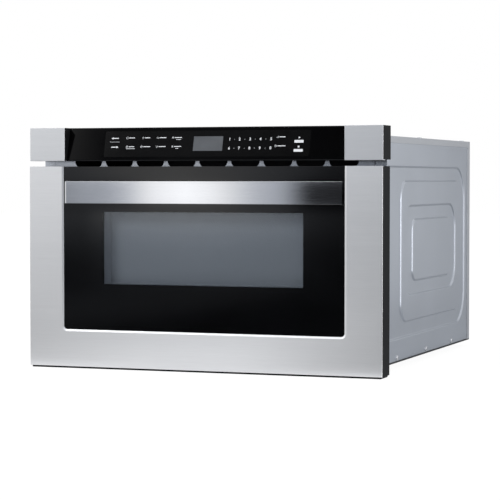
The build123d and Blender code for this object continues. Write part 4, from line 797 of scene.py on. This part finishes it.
# ---------------- front plate
# Coated sheet that closes the cabinet in front: it holds the oven's mouth, lets the rails, hooks
# and rack through, and lets the cooling air out through nine slots above the drawer. Its hems are
# folded back along the side panels.
PLATE_D = (0.046, 0.0472)
PLATE_X = 0.277
PLATE_Z = (0.010, 0.381)
MOUTH_X = 0.232
MOUTH_Z = (0.100, 0.292)
MOUTH_R = 0.008
MOUTH_STEPS = 4
PASSES = (((0.240, 0.2552), (0.128, 0.177)), ((0.257, 0.267), (0.247, 0.267)))
RACK_PASS = ((-0.010, 0.010), (0.077, 0.092))
VENT_COUNT = 9
VENT_PITCH = 0.0554
VENT_SHIFT = 0.0049
VENT_L = 0.049
VENT_Z = (0.330, 0.350)
VENT_STEPS = 5
VENT_FLAT = 1e-5         # what is left straight at a slot's ends
HEM_LONG = 0.016
HEM_Z = (0.0285, 0.3782)

plate_bm = bmesh.new()
openings = [rounded_loop(plate_bm, (-MOUTH_X, MOUTH_X), MOUTH_Z, MOUTH_R, steps=MOUTH_STEPS),
            square_loop(plate_bm, *RACK_PASS)]
for pass_x, pass_z in PASSES:
    openings += [square_loop(plate_bm, pass_x, pass_z),
                 square_loop(plate_bm, (-pass_x[1], -pass_x[0]), pass_z)]
for number in range(VENT_COUNT):
    middle = (number - (VENT_COUNT - 1) / 2) * VENT_PITCH + VENT_SHIFT
    openings.append(rounded_loop(plate_bm, wider((middle, middle), VENT_L / 2), VENT_Z,
                                 (VENT_Z[1] - VENT_Z[0]) / 2 - VENT_FLAT, steps=VENT_STEPS))
flat_between(plate_bm, square_loop(plate_bm, (-PLATE_X, PLATE_X), PLATE_Z), *openings)
for face in plate_bm.faces:
    face.normal_update()
bmesh.ops.reverse_faces(plate_bm, faces=[face for face in plate_bm.faces if face.normal.z > 0])
bmesh.ops.transform(plate_bm, matrix=rear_at(PLATE_D[0]), verts=plate_bm.verts)
for side in (-1, 1):
    hem_end = PLATE_D[1] + HEM_LONG
    hem = plate_bm.faces.new([plate_bm.verts.new((side * PLATE_X, FRONT_Y + d, z)) for d, z in (
        (PLATE_D[0], HEM_Z[0]), (hem_end, HEM_Z[0]), (hem_end, HEM_Z[1]), (PLATE_D[0], HEM_Z[1]))])
    hem.normal_update()
    if hem.normal.x * side < 0:
        hem.normal_flip()
plate_skin = coated_sheet("plate_sheet", lit(172, 177, 185), lit(192, 196, 204), 0.17)
front_plate = new_object("front_plate_pierced", plate_bm, plate_skin, 0.0)
of_sheet(front_plate, PLATE_D[1] - PLATE_D[0])
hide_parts("front_plate")
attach(front_plate, "cabinet")


# ---------------- mounting flanges
# Upright angles of the same sheet, whose short legs lie along the cabinet's sides. Screws through
# their holes hold the appliance in the kitchen furniture.
MERGED = 1e-6            # a solid's loose triangles meet within this
SAME_FACE = 0.5          # degrees
CORNER = 50.0
EASE_STEPS = 2


def eased(node, radius, finish, smooth=CORNER):
    """Stands for a solid: the same shape with its sharp edges broken by some millimetres."""
    bm = bmesh.new()
    bm.from_mesh(frame["nodes"][node].data)
    bmesh.ops.remove_doubles(bm, verts=bm.verts, dist=MERGED)
    bmesh.ops.dissolve_limit(bm, angle_limit=math.radians(SAME_FACE), verts=bm.verts, edges=bm.edges)
    corners = [edge for edge in bm.edges
               if edge.is_manifold and edge.calc_face_angle() > math.radians(CORNER)]
    bmesh.ops.bevel(bm, geom=corners, offset=radius / 1000.0, offset_type="OFFSET",
                    affect="EDGES", segments=EASE_STEPS, profile=0.5, material=-1,
                    clamp_overlap=True)
    piece = new_object(node + "_eased", bm, finish, smooth)
    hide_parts(node)
    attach(piece, frame["nodes"][node]["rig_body"])


for flange in ("right_mounting_flange", "left_mounting_flange"):
    eased(flange, 0.25, plate_skin)


# ---------------- top cover and back panel
# Lids of 0.8 mm coated sheet, pressed and folded over the side panels. The back has the fan's
# grille, the air louvres and a snapped-in black bushing.
cover_skin = coated_sheet("cover_sheet", lit(162, 165, 170), lit(182, 185, 190))
for lid in ("top_cover", "back_panel"):
    eased(lid, 0.25, cover_skin)
dressed(switch_black, "mains_bushing")


# ---------------- sheet-metal screws
# Fourteen zinc-plated pan heads with a cross recess: three low on each side, two along each edge
# of the cover and two up each side of the back.
HEAD_R = 0.0042
HEAD_H = 0.002
HEAD_FACETS = 20
HEAD_STEPS = ((1.0, 0.0), (1.0, 0.45), (0.93, 0.78), (0.78, 0.94), (0.56, 1.0))
CROSS_ARM = 0.0019
CROSS_W = 0.0009
CROSS_FLOOR = 0.0008     # height of the recess's floor in the head
THREAD_R = 0.002
THREAD_ROOT = 0.78       # share of the radius
THREAD_L = 0.007
THREAD_SHARE = 0.86      # how far down the thread runs, before the point
THREAD_TURNS = 6
THREAD_FACETS = 12
POINT_SHARE = 0.3
COVER_TOP = 0.381
BACK_FACE = 0.669
SCREW_TURN = 0.7         # radians from one screw to the next
SCREW_BENDS = 40.0       # degrees


def circle_at(bm, radius, height, facets):
    """A circle of edges at a height."""
    rim = bmesh.ops.create_circle(bm, segments=facets, radius=radius)["verts"]
    bmesh.ops.translate(bm, verts=rim, vec=(0, 0, height))
    return list({edge for v in rim for edge in v.link_edges})


def parts_of(geom, kind):
    """What an operator made, of one kind."""
    return [part for part in geom if isinstance(part, kind)]


def cross_screw():
    """One screw that points down, its head's underside at the origin."""
    bm = bmesh.new()
    head = [circle_at(bm, HEAD_R * wide, HEAD_H * high, HEAD_FACETS) for wide, high in HEAD_STEPS]
    bridged(bm, *head)
    bmesh.ops.create_grid(bm, x_segments=1, y_segments=1, size=CROSS_W / 2,
                          matrix=Matrix.Translation((0, 0, CROSS_FLOOR)))
    for edge in bm.faces[:][-1].edges[:]:
        outwards = sum((v.co for v in edge.verts), Vector()) / 2
        outwards.z = 0
        arm = bmesh.ops.extrude_edge_only(bm, edges=[edge])["geom"]
        bmesh.ops.translate(bm, verts=parts_of(arm, bmesh.types.BMVert),
                            vec=outwards.normalized() * (CROSS_ARM - CROSS_W / 2))
    rim = [edge for edge in bm.edges if edge.is_boundary
           and all(abs(v.co.z - CROSS_FLOOR) < MERGED for v in edge.verts)]
    walls = bmesh.ops.extrude_edge_only(bm, edges=rim)["geom"]
    bmesh.ops.translate(bm, verts=parts_of(walls, bmesh.types.BMVert),
                        vec=(0, 0, HEAD_H - CROSS_FLOOR))
    flat_between(bm, head[-1], parts_of(walls, bmesh.types.BMEdge))
    thread = [circle_at(bm, THREAD_R * (1.0 if n % 2 else THREAD_ROOT),
                        -THREAD_L * THREAD_SHARE * n / (2 * THREAD_TURNS), THREAD_FACETS)
              for n in range(2 * THREAD_TURNS + 1)]
    thread.append(circle_at(bm, THREAD_R * POINT_SHARE, -THREAD_L, THREAD_FACETS))
    bridged(bm, *thread)
    bmesh.ops.edgeloop_fill(bm, edges=thread[-1])
    flat_between(bm, head[0], thread[0])
    bmesh.ops.recalc_face_normals(bm, faces=bm.faces)
    return bm


seats = []               # each screw's place and the way that its head looks
for side in (-1, 1):
    lid_x = side * (SIDE_FACE - SCREW_IN)
    seats += [((side * SIDE_FACE, FRONT_Y + d, SIDE_SCREW_Z), (side, 0, 0)) for d in SIDE_SCREWS_D]
    seats += [((lid_x, FRONT_Y + d, COVER_TOP), (0, 0, 1)) for d in COVER_SCREWS_D]
    seats += [((lid_x, FRONT_Y + BACK_FACE, z), (0, 1, 0)) for z in BACK_SCREWS_Z]
pattern_screw = bpy.data.meshes.new("pattern screw")
one_screw = cross_screw()
one_screw.to_mesh(pattern_screw)
one_screw.free()
screws_bm = bmesh.new()
for number, (place, way) in enumerate(seats):
    before = set(screws_bm.verts)
    screws_bm.from_mesh(pattern_screw)
    seat = Matrix.Translation(place) @ Vector(way).to_track_quat("Z", "Y").to_matrix().to_4x4()
    bmesh.ops.transform(screws_bm, matrix=seat @ Matrix.Rotation(SCREW_TURN * number, 4, "Z"),
                        verts=[v for v in screws_bm.verts if v not in before])
screws = new_object("cross_head_screws", screws_bm,
                    coated_sheet("screw_zinc", lit(176, 178, 182), lit(206, 208, 211)), SCREW_BENDS)
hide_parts("cabinet_screws")
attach(screws, "cabinet")


# ---------------- drawer box
# Moulded grey walls stand on a steel pan, and a white glass-ceramic tray lies in it. The pan and
# the inner plate that closes the drawer front behind are coated like the cavity.
dressed(cavity_enamel, "drawer_pan", "door_inner_plate")
dressed(moulded("drawer_plastic", lit(150, 152, 155), lit(168, 170, 172), 0.5), "drawer_walls")


def smooth_skin(name, darker, lighter, patch, dull, detail=2.0, **sockets):
    """A smooth finish: its colour and its gloss, from the first dullness by the second, change a
    little in patches of a size given in millimetres."""
    skin = Finish(name)
    haze = skin.cloud(patch, detail)
    return skin.coat(Base_Color=skin.blend(haze, darker, lighter),
                     Roughness=dull[0] + dull[1] * haze, **sockets)


dressed(smooth_skin("ceramic_tray", lit(222, 222, 218), lit(236, 236, 233), (90.0, 90.0, 40.0),
                    (0.10, 0.08)), "glass_tray")


# ---------------- frame of the drawer front
# Charcoal moulded plastic with ribs behind, which carries the glass, the steel and the screen and
# has the window's tunnel through it. The ring over the wave trap is of the same plastic.
frame_plastic = moulded("frame_plastic", lit(13, 14, 16), lit(19, 20, 23), 0.7, 0.10)
eased("door_frame", 0.3, frame_plastic)
dressed(frame_plastic, "choke_ring")


# ---------------- window screen
# A steel sheet pierced with fine holes that lets light through and no microwaves. It is clamped
# behind the frame, and the folded edges of a second sheet line the window's tunnel.
WINDOW_X = (-0.1726, 0.1726)
WINDOW_Z = (0.1387, 0.2578)
SCREEN_D = (0.0353, 0.0360)
SCREEN_EDGE = 0.010      # it is clamped this far round the window
SCREEN_SHEET = 0.0005
LINING_D = 0.0074        # front edge of the lining
LINING_IN = 0.0006
HOLES = 700.0            # in a metre
HOLE_SHARE = 0.12        # square of a hole's radius, in pitches
PLAY = 0.0002

screen = Finish("perforated_screen")


def from_middle(length, count):
    """How far a place is from the middle of its repeat, in repeats, with so many in a metre."""
    counted = length * count
    return counted.math("FRACT", counted) - 0.5


hole_x = from_middle(screen.x, HOLES)
hole_z = from_middle(screen.z, HOLES)
# The holes are not cut: where they lie, the dark grey is painted shade for the dim drawer seen through
# them.
pierced = ((hole_x * hole_x + hole_z * hole_z) < HOLE_SHARE) * (screen.y > FRONT_Y + SCREEN_D[0] - PLAY)
screen_steel = screen.coat(
    Base_Color=screen.blend(pierced, lit(188, 190, 194), lit(60, 62, 65)),
    Roughness=0.45 + 0.2 * screen.cloud((30.0,) * 3))

screen_bm = bmesh.new()
clamped = (wider(WINDOW_X, SCREEN_EDGE), wider(WINDOW_Z, SCREEN_EDGE))
lining_edge = square_loop(screen_bm, *clamped, SCREEN_D[0])
folds = [square_loop(screen_bm, wider(WINDOW_X, -LINING_IN), wider(WINDOW_Z, -LINING_IN), depth)
         for depth in (SCREEN_D[0], LINING_D)]
flat_between(screen_bm, lining_edge, folds[0])
bridged(screen_bm, *folds)
facing(screen_bm, 2)
bmesh.ops.edgeloop_fill(screen_bm, edges=square_loop(screen_bm, *clamped, SCREEN_D[1]))
bmesh.ops.transform(screen_bm, matrix=rear_at(0.0), verts=screen_bm.verts)
pierced_face = screen_bm.faces[:][-1]
pierced_face.normal_update()
if pierced_face.normal.y < 0:
    pierced_face.normal_flip()
lined_screen = new_object("window_screen_lined", screen_bm, screen_steel)
of_sheet(lined_screen, SCREEN_SHEET)
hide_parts("window_screen")
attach(lined_screen, "drawer")


# ---------------- inner glass
# A plain pane, nearly 4 mm thick, that closes the window on the oven's side. It is held between
# the perforated sheet and the inner plate.
inner_pane = Finish("oven_glass")
inner_haze = inner_pane.cloud((70.0,) * 3, 3.0)
dressed(inner_pane.coat(
    Base_Color=inner_pane.blend(inner_haze, lit(120, 128, 130), lit(200, 205, 208)),
    Roughness=0.05 + 0.06 * inner_haze, Alpha=0.18 + 0.04 * inner_haze), "inner_glass")


# ---------------- printed front glass
# Toughened glass, 4 mm thick, printed black behind except at the window. It is glued into the frame
# and runs out at the top edge.
GLASS_IOR = 1.45

pane = Finish("printed_glass")
at_window = (abs(pane.x) < WINDOW_X[1]) * ((pane.z > WINDOW_Z[0]) * (pane.z < WINDOW_Z[1]))
smudge = pane.cloud((80.0, 80.0, 50.0), 3.0)
print_black = pane.node("ShaderNodeBsdfPrincipled", sockets={
    "Base Color": pane.blend(smudge, lit(4, 4, 5), lit(8, 9, 11)),
    "Roughness": 0.04 + 0.05 * smudge, "IOR": GLASS_IOR})
clear_glass = pane.either(
    pane.node("ShaderNodeFresnel", sockets={"IOR": GLASS_IOR}),
    pane.node("ShaderNodeBsdfTransparent", sockets={"Color": lit(240, 243, 246)}),
    pane.node("ShaderNodeBsdfGlossy", sockets={"Color": WHITE, "Roughness": 0.04 + 0.04 * smudge}))
pane.closed(pane.either(at_window, print_black, clear_glass))
eased("door_glass", 0.3, pane.owner)


# ---------------- trim strip
# A strip of brushed stainless steel, almost as bright as a mirror, bent back at its two ends and
# glued on the glass over the window.
def brushed_steel(name, darker, lighter, along, dull):
    """Stainless steel with straight brush lines; along gives their pitch in three directions."""
    skin = Finish(name)
    lines = skin.cloud(along, 4.0, 0.65)
    broad = skin.cloud(tuple(step * 14.0 for step in along), 1.0)
    cast = skin.cloud((260.0, 260.0, 160.0), 1.0)
    return skin.coat(
        Base_Color=skin.blend(0.6 * lines + 0.15 * broad + 0.25 * cast, darker, lighter),
        Metallic=1.0,
        Roughness=dull - 0.05 + 0.1 * lines,
        Normal=skin.relief(lines, 0.012, 0.35))


STRIP_BENDS = 10.0       # degrees: its bent ends stay as flat as they are folded
strip_steel = brushed_steel("strip_steel", lit(186, 188, 192), lit(216, 217, 220),
                            (30.0, 30.0, 0.3), 0.055)
eased("trim_strip", 0.12, strip_steel, STRIP_BENDS)


# ---------------- steel of the drawer front
# A U of 1.2 mm brushed stainless steel round the glass, two sides and a foot. The edge of its
# opening is rolled in to the glass, its outer edges are slightly rounded, and it is glued on the
# plastic frame.
STEEL_X = (-0.3032, 0.3032)
STEEL_Z = (0.003, 0.3316)
OPENING_X = (-0.2417, 0.2417)
OPENING_FOOT = 0.064
OPENING_R = 0.006
OPENING_STEPS = 6
ABOVE = 0.05             # the opening is drawn this much too high and cut off at the top
OUTER_EDGE = (           # inwards from the outline, and backwards
    (0.0, 0.0012), (0.0, 0.0006), (0.0003, 0.0002), (0.0008, 0.00004), (0.0014, 0.0))
ROLLED_EDGE = (          # outwards from the opening, and backwards
    (0.0034, 0.0), (0.0029, 0.00007), (0.0022, 0.00034), (0.0010, 0.0009), (0.0, 0.0012))
STEEL_BENDS = 35.0       # degrees
BRUSH_PITCH = (42.0, 42.0, 0.42)     # millimetres

steel_bm = bmesh.new()
outer_edge = [
    square_loop(steel_bm, wider(STEEL_X, -by), (STEEL_Z[0] + by, STEEL_Z[1] + 2 * ABOVE), back)
    for by, back in OUTER_EDGE]
rolled_edge = [
    rounded_loop(steel_bm, wider(OPENING_X, by), (OPENING_FOOT - by, STEEL_Z[1] + ABOVE),
                 OPENING_R + by, back, steps=OPENING_STEPS)
    for by, back in ROLLED_EDGE]
bridged(steel_bm, *outer_edge)
bridged(steel_bm, *rolled_edge)
flat_between(steel_bm, outer_edge[-1], rolled_edge[0])
flat_between(steel_bm, outer_edge[0], rolled_edge[-1])
sawn = bmesh.ops.bisect_plane(
    steel_bm, geom=steel_bm.verts[:] + steel_bm.edges[:] + steel_bm.faces[:],
    plane_co=(0, STEEL_Z[1], 0), plane_no=(0, 1, 0), clear_outer=True)
bmesh.ops.holes_fill(steel_bm, edges=parts_of(sawn["geom_cut"], bmesh.types.BMEdge), sides=0)
bmesh.ops.transform(steel_bm, matrix=rear_at(0.0), verts=steel_bm.verts)
bmesh.ops.recalc_face_normals(steel_bm, faces=steel_bm.faces)
front_steel = brushed_steel("front_steel", lit(204, 205, 208), lit(236, 237, 239), BRUSH_PITCH, 0.42)
rolled_front = new_object("drawer_front_rolled", steel_bm, front_steel, STEEL_BENDS)
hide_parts("drawer_front_steel")
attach(rolled_front, "drawer")


# ---------------- housing of the control block
# The same charcoal plastic, moulded as one bar that runs across the top of the front plate.
# It holds the leaning panel, and the control board and the display's white module behind it.
eased("control_housing", 0.3, frame_plastic)
dressed(board_green, "control_board")
dressed(module_white, "display_module")


# ---------------- end caps
# Two caps of brushed stainless steel, folded and snapped over the ends of the control block in line
# with the steel below.
cap_steel = brushed_steel("cap_steel", lit(190, 192, 195), lit(224, 225, 228), BRUSH_PITCH, 0.40)
for cap in ("right_end_cap", "left_end_cap"):
    eased(cap, 0.4, cap_steel)


# ---------------- leaning panel
# Black glass that leans back in the housing, a thin keypad film laid on it, and in the film a smoked
# window for the display.
dressed(smooth_skin("panel_glass", lit(3, 3, 4), lit(7, 7, 8), (70.0, 70.0, 40.0), (0.05, 0.06),
                    3.0, Specular_IOR_Level=0.09), "control_glass")
dressed(smooth_skin("keypad_film", lit(5, 5, 6), lit(9, 9, 10), (24.0, 24.0, 12.0), (0.10, 0.06),
                    3.0, Specular_IOR_Level=0.14), "keypad_film")
dressed(smooth_skin("display_lens", lit(72, 75, 80), lit(86, 90, 96), (30.0, 30.0, 20.0),
                    (0.14, 0.06)), "display_window")


# ---------------- legends on the keypad
# White ink, silk-screened on the film: the digits, a sign and a line for each key, arrows for the
# drawer's way out and in, and two fields with a mark over each. Sizes are in millimetres.
LEAN = math.radians(15.0)
PANEL_FOOT = 0.3405      # metres: height and depth of the leaning panel's lower edge
PANEL_D = 0.010
FILM_FRONT = 0.0003      # metres, before the panel's plane
INK = 0.00005            # metres
MILLIMETRE = 0.001
PRINT_SHIFT = -2.4
ROWS_Z = (374.6, 360.2)
DIGITS_X = (45.8, 62.5, 80.4, 97.9, 116.0)
DIGIT_SIZE = 6.4
DIGIT_BOLD = 0.18
DIGIT_STEPS = 3          # of each curve in a figure
DOT_R = 0.45
SIGN_UP = 3.4            # a key's sign and line over the foot of its row
SIGN_R = 1.9
SIGN_STROKE = 0.5
SIGN_RING = 0.45
LINE_STROKE = 1.3
LINE_FROM = 3.4          # from the middle of the sign
KEYS = (                 # sign, its place, its row, and the length of the line beside it
    ("ring", -133.2, 0, 9.5), ("drop", -105.2, 0, 8.5), ("waves", -79.4, 0, 11.0),
    ("frost", -53.0, 0, 12.0), ("clock", -132.4, 1, 9.0), ("leaf", -106.6, 1, 11.5),
    ("cup", -79.6, 1, 11.5), ("frost", -52.4, 1, 11.5), ("power", 126.8, 0, 9.0),
    ("clock", 124.6, 1, 12.5))
SIGNS = {                # strokes round the middle of each sign
    "ring": (),
    "leaf": (((-1.3, -1.3), (1.3, 1.3)),),
    "clock": (((0, 0), (0, 1.1)), ((0, 0), (0.8, 0))),
    "drop": (((0, 1.7), (-1.1, -0.3)), ((0, 1.7), (1.1, -0.3)), ((-1.1, -0.3), (0, -1.5)),
             ((1.1, -0.3), (0, -1.5))),
    "waves": tuple(((x, y), (x + 1.1, y + 0.6 * turn)) for y in (-0.9, 0.7) for x, turn in
                   ((-1.7, 1), (0.6, -1))),
    "frost": (((-1.6, 0), (1.6, 0)), ((-0.8, -1.4), (0.8, 1.4)), ((-0.8, 1.4), (0.8, -1.4))),
    "cup": (((-1.3, 1.3), (-0.9, -1.3)), ((-0.9, -1.3), (0.9, -1.3)), ((0.9, -1.3), (1.3, 1.3))),
    "power": (((-1.5, -1.4), (-1.5, -0.4)), ((0, -1.4), (0, 0.5)), ((1.5, -1.4), (1.5, 1.5))),
}
RINGED = ("ring", "leaf", "clock")
SMALL_LINES = ((-43.0, 0, 8.0), (-126.0, 1, 15.0), (-44.5, 1, 4.5))  # place, row and length
SMALL_UP = 0.2
SMALL_STROKE = 0.75
STROKE_ENDS = 0.6        # share of its width that a stroke is longer
ARROWS = ((-154.5, 0, -1), (-154.5, 1, 1))   # place, row, and -1 for out or 1 for in
ARROW_UP = 2.8
ARROW_POINT = 2.3
ARROW_AT = 4.6
ARROW_TAIL = (-5.6, 3.0)
ARROW_STROKE = 1.5
RULE = (-155.0, 371.4, 17.0, 0.4)    # the rule between the arrows: middle, height, length, width
FIELD_X = 162.9
FIELD_DOWN = 3.9
FIELD = (15.2, 4.4)
FIELD_R = 0.6
MARK_X = 163.0
MARK_UP = 6.0
MARK_R = 2.0


def leaning(parts, x, z, turn=0.0):
    """Puts flat work that was drawn in millimetres on the film, round a width and a height."""
    up = (z * MILLIMETRE - PANEL_FOOT) / math.cos(LEAN)
    drawn = (Matrix.Translation(((x + PRINT_SHIFT) * MILLIMETRE, up, FILM_FRONT))
             @ Matrix.Rotation(turn, 4, "Z") @ Matrix.Scale(MILLIMETRE, 4))
    tilt = Matrix(((1, 0, 0, 0), (0, math.sin(LEAN), -math.cos(LEAN), 0),
                   (0, math.cos(LEAN), math.sin(LEAN), 0), (0, 0, 0, 1)))
    foot = Matrix.Translation((0, FRONT_Y + PANEL_D, PANEL_FOOT))
    bmesh.ops.transform(legend, verts=parts, matrix=foot @ tilt @ drawn)


def stroke(first, last, width):
    """A printed line between two points."""
    first, last = Vector(first), Vector(last)
    run = last - first
    line = bmesh.ops.create_grid(legend, x_segments=1, y_segments=1, size=0.5)["verts"]
    bmesh.ops.scale(legend, verts=line, vec=(run.length + width * STROKE_ENDS, width, 1))
    bmesh.ops.rotate(legend, verts=line, matrix=Matrix.Rotation(math.atan2(run.y, run.x), 3, "Z"))
    bmesh.ops.translate(legend, verts=line, vec=((first + last) / 2).to_3d())
    return line


def printed_ring(radius, width, facets=20):
    """A printed circle line."""
    rims = [circle_at(legend, r, 0.0, facets) for r in (radius, radius - width)]
    bridged(legend, *rims)
    return list({v for rim in rims for edge in rim for v in edge.verts})


def field(wide, high, radius):
    """A printed field with round corners."""
    rim = rounded_loop(legend, (-wide / 2, wide / 2), (-high / 2, high / 2), radius, steps=3)
    bmesh.ops.edgeloop_fill(legend, edges=rim)
    return list({v for edge in rim for v in edge.verts})


def spot(radius, facets):
    """A printed dot, or a triangle or square where it has few facets."""
    return bmesh.ops.create_circle(legend, cap_ends=True, segments=facets, radius=radius)["verts"]


def arrow(way):
    """A line that ends in a point, for the drawer's way out or in."""
    point = spot(ARROW_POINT, 3)
    bmesh.ops.rotate(legend, verts=point, matrix=Matrix.Rotation(-math.pi / 2 * way, 3, "Z"))
    bmesh.ops.translate(legend, verts=point, vec=(ARROW_AT * way, 0, 0))
    tail, tip = ARROW_TAIL
    return point + stroke((tail * way, 0), (tip * way, 0), ARROW_STROKE)


def digit(figure):
    """A figure in a plain face, made a mesh before it is placed."""
    letter = bpy.data.curves.new("figure", "FONT")
    letter.body = figure
    letter.size = DIGIT_SIZE
    letter.resolution_u = DIGIT_STEPS
    letter.align_x = letter.align_y = "CENTER"
    letter.offset = DIGIT_BOLD
    written = bpy.data.objects.new("figure", letter)
    flat = bpy.data.meshes.new_from_object(written)
    before = set(legend.verts)
    legend.from_mesh(flat)
    bpy.data.objects.remove(written)
    bpy.data.meshes.remove(flat)
    return [v for v in legend.verts if v not in before]


legend = bmesh.new()
for number, figure in enumerate("1234567890"):
    row, column = divmod(number, len(DIGITS_X))
    leaning(digit(figure), DIGITS_X[column], ROWS_Z[row])
    if column:
        leaning(spot(DOT_R, 8), (DIGITS_X[column] + DIGITS_X[column - 1]) / 2, ROWS_Z[row])
for sign, x, row, length in KEYS:
    sign_z = ROWS_Z[row] + SIGN_UP
    if sign in RINGED:
        leaning(printed_ring(SIGN_R, SIGN_RING), x, sign_z)
    for first, last in SIGNS[sign]:
        leaning(stroke(first, last, SIGN_STROKE), x, sign_z)
    leaning(stroke((0, 0), (length, 0), LINE_STROKE), x + LINE_FROM, sign_z)
for x, row, length in SMALL_LINES:
    leaning(stroke((-length / 2, 0), (length / 2, 0), SMALL_STROKE), x, ROWS_Z[row] + SMALL_UP)
for x, row, way in ARROWS:
    leaning(arrow(way), x, ROWS_Z[row] + ARROW_UP)
rule_x, rule_z, rule_long, rule_wide = RULE
leaning(stroke((-rule_long / 2, 0), (rule_long / 2, 0), rule_wide), rule_x, rule_z)
for row, facets, turn in ((0, 3, -math.pi / 2), (1, 4, math.pi / 4)):
    field_z = ROWS_Z[row] - FIELD_DOWN
    leaning(field(*FIELD, FIELD_R), FIELD_X, field_z)
    leaning(spot(MARK_R, facets), MARK_X, field_z + MARK_UP, turn)
bmesh.ops.recalc_face_normals(legend, faces=legend.faces)
out_of_panel = Vector((0, -math.cos(LEAN), math.sin(LEAN)))
bmesh.ops.reverse_faces(legend, faces=[face for face in legend.faces
                                       if face.normal.dot(out_of_panel) < 0])
bmesh.ops.solidify(legend, geom=legend.faces, thickness=-INK)
ink = smooth_skin("legend_white", lit(206, 210, 216), lit(232, 234, 238), (1.4,) * 3, (0.5, 0.1),
                  Specular_IOR_Level=0.3)
legends = new_object("keypad_legends", legend, ink)
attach(legends, "cabinet")
